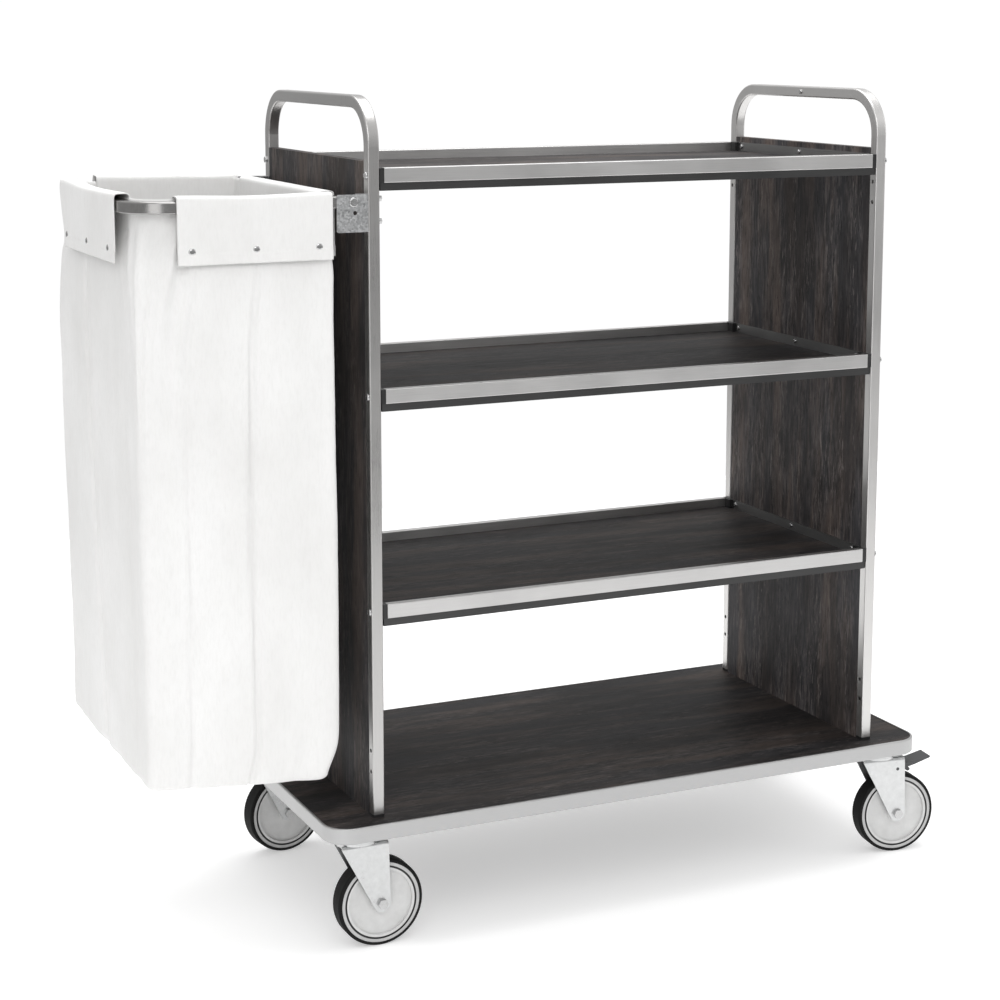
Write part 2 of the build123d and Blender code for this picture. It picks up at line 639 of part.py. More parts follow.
def bag_outline(inset):
    """Level outline of the bag: wide corners at the holder's bends, tight ones at the cross tube."""
    half_x = (BAG_RIGHT_X - BAG_LEFT_X) / 2
    with BuildSketch(Plane.XY) as outline:
        with Locations(((BAG_LEFT_X + BAG_RIGHT_X) / 2, 0)):
            Rectangle(2 * (half_x - inset), 2 * (BAG_Y - inset))
        fillet(outline.vertices().group_by(Axis.X)[0], BAG_LEFT_CORNER - inset)
        fillet(outline.vertices().group_by(Axis.X)[-1], BAG_RIGHT_CORNER - inset)
    return outline.sketch


# The space inside follows the rounded bottom edge, so that the cloth is equally thick all over.
with BuildPart() as bag_space:
    with BuildSketch(level(BAG_FLOOR)):
        add(bag_outline(CLOTH))
    extrude(amount=BAG_TOP - BAG_FLOOR)
    fillet(bag_space.edges().group_by(Axis.Z)[0], BAG_BOTTOM_CORNER - CLOTH)

with BuildPart() as laundry_bag:
    with BuildSketch(level(BAG_BOTTOM)):
        add(bag_outline(0))
    extrude(amount=BAG_TOP - BAG_BOTTOM)
    fillet(laundry_bag.edges().group_by(Axis.Z)[0], BAG_BOTTOM_CORNER)
    # The flaps: a strip over each tube, then a skirt down its outside.
    for j in (-1, 1):
        outer = j * (ARM_Y + FLAP_OFFSET + CLOTH)
        skirt = sorted((outer, outer - j * CLOTH))
        block(FRONT_FLAP_X, sorted((outer, j * BAG_Y)), (BAG_TOP - CLOTH, BAG_TOP))
        block(FRONT_FLAP_X, skirt, (BAG_TOP - FLAP_DROP, BAG_TOP))
    for tube_x, outward, half_y in ((HOLDER_END_X, -1, END_FLAP_Y), (CROSS_TUBE_X, 1, CART_FLAP_Y)):
        outer = tube_x + outward * (FLAP_OFFSET + CLOTH)
        inner = tube_x - outward * FLAP_OFFSET
        skirt = sorted((outer, outer - outward * CLOTH))
        block(sorted((outer, inner)), (-half_y, half_y), (BAG_TOP - CLOTH, BAG_TOP))
        block(skirt, (-half_y, half_y), (BAG_TOP - FLAP_DROP, BAG_TOP))
    add(bag_space.part, mode=Mode.SUBTRACT)
save(laundry_bag.part, "laundry_bag")

STUD_Z = BAG_TOP - FLAP_STUD_DROP
FRONT_STUD_X = (
    FRONT_FLAP_X[0] + SIDE_STUD_INSET,
    sum(FRONT_FLAP_X) / 2,
    FRONT_FLAP_X[1] - SIDE_STUD_INSET,
)
END_STUD_Y = (END_STUD_INSET - END_FLAP_Y, 0.0, END_FLAP_Y - END_STUD_INSET)
FRONT_FLAP_FACE = ARM_Y + FLAP_OFFSET + CLOTH
END_FLAP_FACE = HOLDER_END_X - FLAP_OFFSET - CLOTH
CART_FLAP_FACE = CROSS_TUBE_X + FLAP_OFFSET + CLOTH

with BuildPart() as press_studs:
    with BuildSketch(along(-FRONT_FLAP_FACE)):
        with Locations(*[(x, STUD_Z) for x in FRONT_STUD_X]):
            Circle(STUD_RADIUS)
    extrude(amount=STUD_HEIGHT)
    fillet(press_studs.edges().group_by(Axis.Y)[0], STUD_HEIGHT * DOME)
    mirror_front_rear()
    with BuildSketch(across(END_FLAP_FACE)):
        with Locations(*[(y, STUD_Z) for y in END_STUD_Y]):
            Circle(STUD_RADIUS)
    extrude(amount=-STUD_HEIGHT)
    fillet(press_studs.edges().group_by(Axis.X)[0], STUD_HEIGHT * DOME)
    with BuildSketch(across(CART_FLAP_FACE)):
        with Locations(*[(y, STUD_Z) for y in END_STUD_Y]):
            Circle(STUD_RADIUS)
    extrude(amount=STUD_HEIGHT)
    fillet(press_studs.edges().group_by(Axis.X)[-1], STUD_HEIGHT * DOME)
save(press_studs.part, "press_studs")

# ---------------------------------------------------------------- castors

PLATE_SIZE = (105.0, 80.0)
PLATE_CORNER = 15.0
PLATE_THICKNESS = 3.0
FORK_SHEET = 3.0
FORK_INNER_HALF = 19.0  # half the space between the legs
CROWN_DROP = 15.0  # top of the crown below the board
SWIVEL_RADIUS = 32.0
SWIVEL_DROP = 11.0  # top of the turning ring below the board
SWIVEL_PLAY = 0.2  # gap between the turning ring and the fixed one
KING_PIN_RADIUS = 6.0
KING_HEAD_RADIUS = 10.0
KING_HEAD_HEIGHT = 4.0
FORK_FRONT = -34.0  # leading end of the crown, measured along the trail
FORK_REAR = 48.0  # trailing end of the crown
LEG_END_RADIUS = 15.0
AXLE_HEAD_RADIUS = 9.0
AXLE_HEAD_HEIGHT = 6.0
CASTOR_BOLT_HEAD_RADIUS = 6.5
CASTOR_BOLT_HEAD_HEIGHT = 5.0

PLATE_BOTTOM = CASTOR_HEIGHT - PLATE_THICKNESS
SWIVEL_TOP = CASTOR_HEIGHT - SWIVEL_DROP
CROWN_TOP = CASTOR_HEIGHT - CROWN_DROP
CROWN_BOTTOM = CROWN_TOP - FORK_SHEET
FORK_OUTER_HALF = FORK_INNER_HALF + FORK_SHEET

with BuildPart() as castor_plates:
    with BuildSketch(level(PLATE_BOTTOM)):
        with Locations(*CASTOR_POINTS):
            RectangleRounded(*PLATE_SIZE, PLATE_CORNER)
    extrude(amount=PLATE_THICKNESS)
    with BuildSketch(level(SWIVEL_TOP + SWIVEL_PLAY)):
        with Locations(*CASTOR_POINTS):
            Circle(SWIVEL_RADIUS)
    extrude(amount=PLATE_BOTTOM - SWIVEL_TOP - SWIVEL_PLAY)
    with BuildSketch(level(CASTOR_HEIGHT)):
        with Locations(*CASTOR_BOLT_POINTS):
            Circle(CASTOR_BOLT_RADIUS)
        with Locations(*CASTOR_POINTS):
            Circle(KING_PIN_RADIUS)
    extrude(amount=SWIVEL_TOP - CASTOR_HEIGHT, mode=Mode.SUBTRACT)
save(castor_plates.part, "castor_plates")

with BuildPart() as castor_bolts:
    with BuildSketch(level(PLATE_BOTTOM - CASTOR_BOLT_HEAD_HEIGHT)):
        with Locations(*CASTOR_BOLT_POINTS):
            RegularPolygon(CASTOR_BOLT_HEAD_RADIUS, 6)
    extrude(amount=CASTOR_BOLT_HEAD_HEIGHT)
    with BuildSketch(level(PLATE_BOTTOM)):
        with Locations(*CASTOR_BOLT_POINTS):
            Circle(CASTOR_BOLT_RADIUS)
    extrude(amount=PLATE_THICKNESS + CASTOR_BOLT_DEPTH)
save(castor_bolts.part, "castor_bolts")

KING_HEAD_TOP = CROWN_BOTTOM - CLEARANCE

with BuildPart() as castor_king_pins:
    with BuildSketch(level(KING_HEAD_TOP - KING_HEAD_HEIGHT)):
        with Locations(*CASTOR_POINTS):
            Circle(KING_HEAD_RADIUS)
    extrude(amount=KING_HEAD_HEIGHT)
    with BuildSketch(level(KING_HEAD_TOP)):
        with Locations(*CASTOR_POINTS):
            Circle(KING_PIN_RADIUS)
    extrude(amount=CASTOR_HEIGHT - KING_HEAD_TOP)
save(castor_king_pins.part, "castor_king_pins")

# Points of the pedal, along the trail and up.
PEDAL_PIVOT = (34.0, 161.0)
PEDAL_ELBOW = (70.0, 168.0)
PEDAL_TIP = (100.0, 177.0)
PEDAL_SHOE = (60.0, 155.4)
PEDAL_SHOE_ROOT = (48.0, 163.0)
PEDAL_PIN_RADIUS = 3.0
PEDAL_HUB_RADIUS = 6.0
PEDAL_WIDTH = 34.0
PEDAL_SHOE_WIDTH = 24.0
# Arms of the pedal: centre and radius of the round at each end, then the width.
PEDAL_ARMS = (
    (PEDAL_PIVOT, 5.0, PEDAL_ELBOW, 3.0, PEDAL_WIDTH),
    (PEDAL_ELBOW, 3.0, PEDAL_TIP, 2.2, PEDAL_WIDTH),
    (PEDAL_SHOE_ROOT, 4.0, PEDAL_SHOE, 3.5, PEDAL_SHOE_WIDTH),
)


class Castor:
    """Planes of one castor: its swivel axis stands at (x, y), and its fork is turned by turn degrees."""

    def __init__(self, x, y, turn):
        self.pivot = (CART_X + x, y, 0)
        self.trail = (cos(radians(turn)), sin(radians(turn)), 0)
        self.outward = (sin(radians(turn)), -cos(radians(turn)), 0)

    def level(self, z):
        return Plane(origin=self.pivot, x_dir=self.trail, z_dir=(0, 0, 1)).offset(z)

    def side(self, offset=0):
        """Upright plane along the trail: local x backwards from the swivel axis, local y up."""
        return Plane(origin=self.pivot, x_dir=self.trail, z_dir=self.outward).offset(offset)

    def front(self, offset):
        """Upright plane across the trail, facing backwards: local y up."""
        return Plane(origin=self.pivot, x_dir=[-n for n in self.outward], z_dir=self.trail).offset(offset)


def castor_fork(castor, braked):
    """Fork bent from sheet: a U across the trail, cut to the side outline of its legs."""
    leg_foot = WHEEL_RADIUS - LEG_END_RADIUS
    with BuildPart() as fork:
        with BuildSketch(castor.front(FORK_FRONT)) as profile:
            with Locations((0, (leg_foot + CROWN_TOP) / 2)):
                Rectangle(2 * FORK_OUTER_HALF, CROWN_TOP - leg_foot)
            fillet(profile.vertices().group_by(Axis.Y)[-1], 2 * FORK_SHEET)
            with Locations((0, (leg_foot + CROWN_BOTTOM) / 2)):
                Rectangle(2 * FORK_INNER_HALF, CROWN_BOTTOM - leg_foot, mode=Mode.SUBTRACT)
        extrude(amount=FORK_REAR - FORK_FRONT + LEG_END_RADIUS)
        with BuildSketch(castor.side()):
            with Locations((CASTOR_TRAIL, WHEEL_RADIUS)):
                Circle(LEG_END_RADIUS)
            with Locations(((FORK_FRONT + FORK_REAR) / 2, CROWN_TOP - FORK_SHEET)):
                Rectangle(FORK_REAR - FORK_FRONT, 2 * FORK_SHEET)
            make_hull()
        extrude(amount=FORK_OUTER_HALF, both=True, mode=Mode.INTERSECT)
        with BuildSketch(castor.level(CROWN_TOP)):
            Circle(SWIVEL_RADIUS)
        extrude(amount=SWIVEL_TOP - CROWN_TOP)
        with BuildSketch(castor.level(SWIVEL_TOP)):
            Circle(KING_PIN_RADIUS + RUNNING_PLAY)
        extrude(amount=CROWN_BOTTOM - SWIVEL_TOP, mode=Mode.SUBTRACT)
        with BuildSketch(castor.side()):
            with Locations((CASTOR_TRAIL, WHEEL_RADIUS)):
                Circle(AXLE_RADIUS)
            if braked:
                with Locations(PEDAL_PIVOT):
                    Circle(PEDAL_PIN_RADIUS + RUNNING_PLAY)
        extrude(amount=FORK_OUTER_HALF, both=True, mode=Mode.SUBTRACT)
    return fork.part


def castor_axle(castor):
    """Axle bolt with its head outside one leg and its nut outside the other."""
    with BuildPart() as axle:
        with BuildSketch(castor.side()):
            with Locations((CASTOR_TRAIL, WHEEL_RADIUS)):
                Circle(AXLE_RADIUS)
        extrude(amount=FORK_OUTER_HALF, both=True)
        for end in (-1, 1):
            with BuildSketch(castor.side(end * FORK_OUTER_HALF)):
                with Locations((CASTOR_TRAIL, WHEEL_RADIUS)):
                    RegularPolygon(AXLE_HEAD_RADIUS, 6)
            extrude(amount=end * AXLE_HEAD_HEIGHT)
    return axle.part


def wheel_section(castor):
    """Radial section plane of a wheel: local x is the radius, local y runs along the axle."""
    axle = castor.side().from_local_coords((CASTOR_TRAIL, WHEEL_RADIUS, 0))
    return Plane(origin=axle, x_dir=castor.trail, z_dir=(0, 0, 1))


def wheel_axis(castor):
    return Axis(wheel_section(castor).origin, castor.outward)


def wheel_bush(castor):
    with BuildPart() as bush:
        with BuildSketch(castor.side()):
            with Locations((CASTOR_TRAIL, WHEEL_RADIUS)):
                Circle(BUSH_RADIUS)
                Circle(AXLE_RADIUS + RUNNING_PLAY, mode=Mode.SUBTRACT)
        extrude(amount=HUB_WIDTH / 2, both=True)
    return bush.part


def ring_section(inner, outer, width):
    """Rectangle of a turned ring, from its inner to its outer radius."""
    with Locations(((inner + outer) / 2, 0)):
        Rectangle(outer - inner, width)


def wheel_core(castor):
    """Turned wheel body: hub, flat disc, and a rim with a fine groove on each side."""
    with BuildPart() as core:
        with BuildSketch(wheel_section(castor)):
            ring_section(BUSH_RADIUS, HUB_RADIUS, HUB_WIDTH)
            ring_section(HUB_RADIUS, DISC_RADIUS, DISC_THICKNESS)
            ring_section(DISC_RADIUS, RIM_RADIUS, RIM_WIDTH)
            with Locations((GROOVE_RADIUS, RIM_WIDTH / 2), (GROOVE_RADIUS, -RIM_WIDTH / 2)):
                Rectangle(GROOVE_WIDTH, 2 * GROOVE_DEPTH, mode=Mode.SUBTRACT)
        revolve(axis=wheel_axis(castor))
    return core.part


def wheel_tyre(castor):
    with BuildPart() as tyre:
        with BuildSketch(wheel_section(castor)) as section:
            ring_section(RIM_RADIUS, WHEEL_RADIUS, TYRE_WIDTH)
            fillet(section.vertices().group_by(Axis.X)[-1], TYRE_SHOULDER)
        revolve(axis=wheel_axis(castor))
    return tyre.part


def brake_pedal(castor):
    """Lever with trunnions that turn in the fork's legs, a shoe over the tyre and a tread past the wheel."""
    with BuildPart() as pedal:
        for start, start_radius, end, end_radius, width in PEDAL_ARMS:
            with BuildSketch(castor.side()):
                with Locations(start):
                    Circle(start_radius)
                with Locations(end):
                    Circle(end_radius)
                make_hull()
            extrude(amount=width / 2, both=True)
        with BuildSketch(castor.side()):
            with Locations(PEDAL_PIVOT):
                Circle(PEDAL_HUB_RADIUS)
        extrude(amount=PEDAL_WIDTH / 2, both=True)
        with BuildSketch(castor.side()):
            with Locations(PEDAL_PIVOT):
                Circle(PEDAL_PIN_RADIUS)
        extrude(amount=FORK_OUTER_HALF, both=True)
    return pedal.part


for castor_name, side_x, side_y, turn in CASTORS:
    castor = Castor(side_x * CASTOR_X, side_y * CASTOR_Y, turn)
    save(castor_fork(castor, castor_name in BRAKED_CASTORS), f"{castor_name}_castor_fork")
    save(castor_axle(castor), f"{castor_name}_axle")
    save(wheel_bush(castor), f"{castor_name}_wheel_bush")
    save(wheel_core(castor), f"{castor_name}_wheel")
    save(wheel_tyre(castor), f"{castor_name}_tyre")

for castor_name, side_x, side_y, turn in CASTORS:
    if castor_name in BRAKED_CASTORS:
        castor = Castor(side_x * CASTOR_X, side_y * CASTOR_Y, turn)
        save(brake_pedal(castor), f"{castor_name}_brake_pedal")
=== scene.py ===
import json
from math import cos, exp, pi, radians, sin, sqrt

import bmesh
import bpy
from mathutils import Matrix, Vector, noise


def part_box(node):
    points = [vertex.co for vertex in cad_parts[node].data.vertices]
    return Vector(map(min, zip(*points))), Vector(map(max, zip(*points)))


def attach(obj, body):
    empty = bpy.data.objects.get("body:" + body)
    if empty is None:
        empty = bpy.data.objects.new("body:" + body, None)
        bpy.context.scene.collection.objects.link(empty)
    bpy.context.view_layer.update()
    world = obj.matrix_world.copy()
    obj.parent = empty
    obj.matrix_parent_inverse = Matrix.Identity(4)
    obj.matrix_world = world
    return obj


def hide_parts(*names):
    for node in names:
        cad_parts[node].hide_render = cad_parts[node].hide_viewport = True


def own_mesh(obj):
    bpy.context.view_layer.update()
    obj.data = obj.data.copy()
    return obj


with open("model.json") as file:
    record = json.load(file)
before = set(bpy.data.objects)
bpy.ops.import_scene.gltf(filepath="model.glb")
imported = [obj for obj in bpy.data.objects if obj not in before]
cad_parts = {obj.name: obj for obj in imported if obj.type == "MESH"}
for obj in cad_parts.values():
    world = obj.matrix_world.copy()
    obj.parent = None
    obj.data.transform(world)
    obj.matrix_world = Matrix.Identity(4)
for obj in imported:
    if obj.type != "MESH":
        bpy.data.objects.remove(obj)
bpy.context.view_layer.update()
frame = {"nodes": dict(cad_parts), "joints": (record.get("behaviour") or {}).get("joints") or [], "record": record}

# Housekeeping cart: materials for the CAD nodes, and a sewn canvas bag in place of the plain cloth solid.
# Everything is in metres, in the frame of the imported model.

scene = bpy.context.scene
nodes_by_name = frame["nodes"]

# ---------------------------------------------------------------- places, from the frame

left_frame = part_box("left_end_frame")
right_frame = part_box("right_end_frame")
CART_X = (left_frame[0].x + right_frame[1].x) / 2
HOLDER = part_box("bag_holder_tube")
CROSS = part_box("bag_cross_tube")
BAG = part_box("laundry_bag")
TUBE = HOLDER[1].z - HOLDER[0].z

# ---------------------------------------------------------------- shader helpers


class Look:
    """A procedural material under construction: its node tree and its shader."""

    def __init__(self, name):
        self.material = bpy.data.materials.new(name)
        self.material.use_nodes = True
        self.tree = self.material.node_tree
        self.shader = self.tree.nodes["Principled BSDF"]
        self.object_point = self.tree.nodes.new("ShaderNodeTexCoord").outputs["Object"]

    def link(self, source, target):
        self.tree.links.new(source, target)
        return target

    def point(self, scale=(1, 1, 1), shift=(0, 0, 0)):
        """Object coordinates in metres, moved and then scaled along each axis."""
        mapping = self.tree.nodes.new("ShaderNodeMapping")
        mapping.vector_type = "POINT"
        mapping.inputs["Location"].default_value = [s * k for s, k in zip(shift, scale)]
        mapping.inputs["Scale"].default_value = scale
        self.link(self.object_point, mapping.inputs["Vector"])
        return mapping.outputs["Vector"]

    def noise(self, vector, scale, detail=4, roughness=0.5, distortion=0.0):
        node = self.tree.nodes.new("ShaderNodeTexNoise")
        node.inputs["Scale"].default_value = scale
        node.inputs["Detail"].default_value = detail
        node.inputs["Roughness"].default_value = roughness
        node.inputs["Distortion"].default_value = distortion
        self.link(vector, node.inputs["Vector"])
        return node.outputs["Fac"]

    def voronoi(self, vector, scale):
        node = self.tree.nodes.new("ShaderNodeTexVoronoi")
        node.inputs["Scale"].default_value = scale
        self.link(vector, node.inputs["Vector"])
        return node.outputs["Color"]

    def wave(self, vector, scale, axis="X", distortion=0.0, detail=2):
        node = self.tree.nodes.new("ShaderNodeTexWave")
        node.bands_direction = axis
        node.inputs["Scale"].default_value = scale
        node.inputs["Distortion"].default_value = distortion
        node.inputs["Detail"].default_value = detail
        self.link(vector, node.inputs["Vector"])
        return node.outputs["Fac"]

    def remap(self, value, low, high, to_low=0.0, to_high=1.0):
        node = self.tree.nodes.new("ShaderNodeMapRange")
        for name, number in (("From Min", low), ("From Max", high), ("To Min", to_low), ("To Max", to_high)):
            node.inputs[name].default_value = number
        self.link(value, node.inputs["Value"])
        return node.outputs["Result"]

    def math(self, operation, a, b):
        node = self.tree.nodes.new("ShaderNodeMath")
        node.operation = operation
        for socket, value in zip(node.inputs, (a, b)):
            if isinstance(value, (int, float)):
                socket.default_value = value
            else:
                self.link(value, socket)
        return node.outputs[0]

    def ramp(self, value, stops):
        """Colours along a value: stops are (position, (r, g, b)) in linear light."""
        node = self.tree.nodes.new("ShaderNodeValToRGB")
        elements = node.color_ramp.elements
        while len(elements) < len(stops):
            elements.new(0.5)
        for element, (position, colour) in zip(elements, stops):
            element.position = position
            element.color = (*colour, 1)
        self.link(value, node.inputs["Fac"])
        return node.outputs["Color"]

    def mix(self, factor, a, b, blend="MIX"):
        node = self.tree.nodes.new("ShaderNodeMix")
        node.data_type = "RGBA"
        node.blend_type = blend
        for socket, value in zip((node.inputs[0], node.inputs[6], node.inputs[7]), (factor, a, b)):
            if isinstance(value, (int, float)):
                socket.default_value = value
            elif isinstance(value, tuple):
                socket.default_value = (*value, 1)
            else:
                self.link(value, socket)
        return node.outputs[2]

    def set(self, **values):
        """Sets or links the shader's sockets, named with underscores for spaces."""
        for name, value in values.items():
            socket = self.shader.inputs[name.replace("_", " ")]
            if isinstance(value, (int, float)):
                socket.default_value = value
            elif isinstance(value, tuple):
                socket.default_value = (*value, 1)
            else:
                self.link(value, socket)

    def bump(self, height, strength, distance, before=None):
        node = self.tree.nodes.new("ShaderNodeBump")
        node.inputs["Strength"].default_value = strength
        node.inputs["Distance"].default_value = distance
        self.link(height, node.inputs["Height"])
        if before is not None:
            self.link(before, node.inputs["Normal"])
        return node.outputs["Normal"]


def grey(value):
    return (value, value, value)


# ---------------------------------------------------------------- materials


def laminate(name, along_x, level=1.0):
    """Dark wenge pattern: soft brown and blue-grey bands, short streaks, light flecks and pores; level scales it
    all and is painted light on the side panels.
    """
    look = Look(name)

    def grained(along, across, shift=(0, 0, 0)):
        scale = (along, across, across) if along_x else (across, across, along)
        return look.point(scale, shift)

    def tone(*colour):
        return tuple(c * level for c in colour)

    streaks = look.noise(grained(19, 150), 1.0, 5, 0.64, 0.5)
    colour = look.ramp(
        streaks,
        [
            (0.34, tone(0.0125, 0.0114, 0.0116)),
            (0.46, tone(0.0250, 0.0228, 0.0230)),
            (0.55, tone(0.0420, 0.0380, 0.0378)),
            (0.68, tone(0.0820, 0.0725, 0.0705)),
        ],
    )
    bands = look.noise(grained(2.4, 24, (3.1, 1.7, 5.3)), 1.0, 4, 0.6)
    colour = look.mix(look.remap(bands, 0.49, 0.62, 0.0, 0.55), colour, tone(0.0760, 0.0580, 0.0490))
    colour = look.mix(look.remap(bands, 0.50, 0.38, 0.0, 0.55), colour, tone(0.0215, 0.0225, 0.0255))
    clouds = look.noise(grained(3.4, 11, (1.9, 4.4, 0.6)), 1.0, 4, 0.6)
    colour = look.mix(look.remap(clouds, 0.54, 0.38, 0.0, 0.70), colour, tone(0.0110, 0.0100, 0.0102))
    flecks = look.noise(grained(40, 430, (0.7, 2.9, 1.3)), 1.0, 3, 0.6, 0.8)
    cover = look.noise(grained(3, 30, (6.1, 0.4, 2.2)), 1.0, 2, 0.5)
    light = look.math("MULTIPLY", look.remap(flecks, 0.56, 0.66), look.remap(cover, 0.44, 0.58))
    colour = look.mix(look.math("MULTIPLY", light, 0.60), colour, tone(0.1300, 0.1140, 0.1080))
    pores = look.remap(flecks, 0.43, 0.34)
    colour = look.mix(look.math("MULTIPLY", pores, 0.80), colour, tone(0.0050, 0.0046, 0.0047))
    look.set(Base_Color=colour)
    look.set(Roughness=look.remap(streaks, 0.3, 0.7, 0.48, 0.66))
    look.set(Specular_IOR_Level=0.16)
    relief = look.math("SUBTRACT", look.math("MULTIPLY", streaks, 0.4), pores)
    look.set(Normal=look.bump(relief, 0.25, 0.0004))
    return look.material


def metal(name, base, rough, brush_axis=None, variation=0.06, bump=0.04, tint=(1, 1, 1)):
    """Bare metal with soft tone changes and, along brush_axis, fine drawn lines."""
    look = Look(name)
    scale = [90, 90, 90]
    if brush_axis is not None:
        scale = [1400, 1400, 1400]
        scale[brush_axis] = 12
    lines = look.noise(look.point(scale), 1.0, 3, 0.6)
    cloudy = look.noise(look.point((6, 6, 6)), 1.0, 3, 0.5)
    darker = tuple(base * (1 - variation * 2) * t for t in tint)
    lighter = tuple(base * t for t in tint)
    tone = look.math("ADD", look.math("MULTIPLY", lines, 0.5), look.math("MULTIPLY", cloudy, 0.5))
    look.set(Base_Color=look.ramp(tone, [(0.35, darker), (0.62, lighter)]))
    look.set(Metallic=1.0)
    look.set(Roughness=look.remap(tone, 0.3, 0.7, rough * 0.8, rough * 1.25))
    look.set(Normal=look.bump(lines, bump, 0.0003))
    return look.material


def galvanised():
    """Zinc-dipped sheet with its crystal pattern."""
    look = Look("galvanised_sheet")
    crystals = look.voronoi(look.point((330, 330, 330)), 1.0)
    tone = look.tree.nodes.new("ShaderNodeRGBToBW")
    look.link(crystals, tone.inputs["Color"])
    dust = look.noise(look.point((60, 60, 60)), 1.0, 4, 0.6)
    crystal_part = look.math("MULTIPLY", tone.outputs["Val"], 0.6)
    mixed = look.math("ADD", crystal_part, look.math("MULTIPLY", dust, 0.4))
    look.set(Base_Color=look.ramp(mixed, [(0.2, (0.30, 0.305, 0.31)), (0.8, (0.66, 0.665, 0.67))]))
    look.set(Metallic=0.9)
    look.set(Roughness=look.remap(mixed, 0.2, 0.8, 0.28, 0.48))
    look.set(Normal=look.bump(mixed, 0.15, 0.0004))
    return look.material


def plastic(name, colour, rough, grain=900, variation=0.12, bump=0.08):
    """Moulded plastic with a fine grain and faint scuffs."""
    look = Look(name)
    fine = look.noise(look.point((grain, grain, grain)), 1.0, 2, 0.5)
    scuffs = look.noise(look.point((35, 35, 35)), 1.0, 5, 0.65)
    worn = tuple(min(1, c * (1 + variation) + 0.004) for c in colour)
    dull = tuple(c * (1 - variation) for c in colour)
    look.set(Base_Color=look.ramp(scuffs, [(0.35, dull), (0.65, worn)]))
    look.set(Roughness=look.remap(scuffs, 0.3, 0.7, rough * 0.88, rough * 1.12))
    look.set(Normal=look.bump(fine, bump, 0.0002))
    return look.material


# Distances from the axle, in metres: where the groove's painted shade starts and is full, where the disc gives way
# to the rim, and where the painted shade fades out again.
GROOVE_SHADE_INSIDE = (0.0600, 0.0606)
DISC_TO_RIM = (0.0612, 0.0622)
GROOVE_SHADE_OUTSIDE = (0.0634, 0.0640)


def wheel_plastic(name, centre, axis):
    """Pale moulded wheel with painted shade, a dark line, in the groove between its disc and its rim."""
    look = Look(name)
    offset = look.point((1, 1, 1), tuple(-c for c in centre))
    # Distance from the axle's line: the length of the offset crossed with the axle's direction.
    crossed = look.tree.nodes.new("ShaderNodeVectorMath")
    crossed.operation = "CROSS_PRODUCT"
    crossed.inputs[1].default_value = axis
    look.link(offset, crossed.inputs[0])
    length = look.tree.nodes.new("ShaderNodeVectorMath")
    length.operation = "LENGTH"
    look.link(crossed.outputs["Vector"], length.inputs[0])
    radius = length.outputs["Value"]
    scuffs = look.noise(look.point((40, 40, 40)), 1.0, 4, 0.6)
    disc = look.ramp(scuffs, [(0.3, (0.57, 0.57, 0.565)), (0.7, (0.66, 0.66, 0.655))])
    rim = look.ramp(scuffs, [(0.3, (0.44, 0.44, 0.44)), (0.7, (0.52, 0.52, 0.515))])
    colour = look.mix(look.remap(radius, *DISC_TO_RIM), disc, rim)
    # Painted shade: a near-black line in the groove, where the recess lies in shade.
    inside = look.remap(radius, *GROOVE_SHADE_INSIDE)
    outside = look.remap(radius, *GROOVE_SHADE_OUTSIDE, 1.0, 0.0)
    colour = look.mix(look.math("MULTIPLY", inside, outside), colour, (0.016, 0.016, 0.017))
    look.set(Base_Color=colour)
    look.set(Roughness=look.remap(scuffs, 0.3, 0.7, 0.34, 0.48))
    look.set(Normal=look.bump(scuffs, 0.05, 0.0003))
    return look.material


def tyre_rubber():
    """Black rubber with a dusty, slightly worn tread."""
    look = Look("tyre_rubber")
    dust = look.noise(look.point((55, 55, 55)), 1.0, 5, 0.65)
    fine = look.noise(look.point((1300, 1300, 1300)), 1.0, 2, 0.6)
    look.set(Base_Color=look.ramp(dust, [(0.35, (0.0055, 0.0055, 0.0058)), (0.7, (0.0130, 0.0128, 0.0125))]))
    look.set(Roughness=look.remap(dust, 0.3, 0.7, 0.6, 0.8))
    look.set(Specular_IOR_Level=0.15)
    look.set(Normal=look.bump(fine, 0.2, 0.0003))
    return look.material


def canvas(name):
    """White cotton canvas: a plain weave, uneven threads and faint washing marks."""
    look = Look(name)
    # Waves along the three axes give a weave on every side of the bag.
    threads = [look.wave(look.point(), 230, axis, 0.6, 2) for axis in ("X", "Y", "Z")]
    weave = look.math("MULTIPLY", look.math("ADD", threads[0], threads[1]), threads[2])
    slubs = look.noise(look.point((260, 260, 60)), 1.0, 4, 0.65)
    cloudy = look.noise(look.point((7, 7, 4)), 1.0, 4, 0.55)
    base = look.ramp(cloudy, [(0.3, (0.785, 0.780, 0.770)), (0.7, (0.865, 0.862, 0.856))])
    colour = look.mix(look.remap(slubs, 0.45, 0.75, 0.0, 0.25), base, (0.68, 0.675, 0.66))
    look.set(Base_Color=colour)
    look.set(Roughness=look.remap(slubs, 0.3, 0.7, 0.82, 0.96))
    look.set(Specular_IOR_Level=0.2)
    look.set(Sheen_Weight=0.12)
    look.set(Sheen_Roughness=0.5)
    fine = look.bump(weave, 0.22, 0.0004)
    look.set(Normal=look.bump(slubs, 0.18, 0.0006, fine))
    return look.material


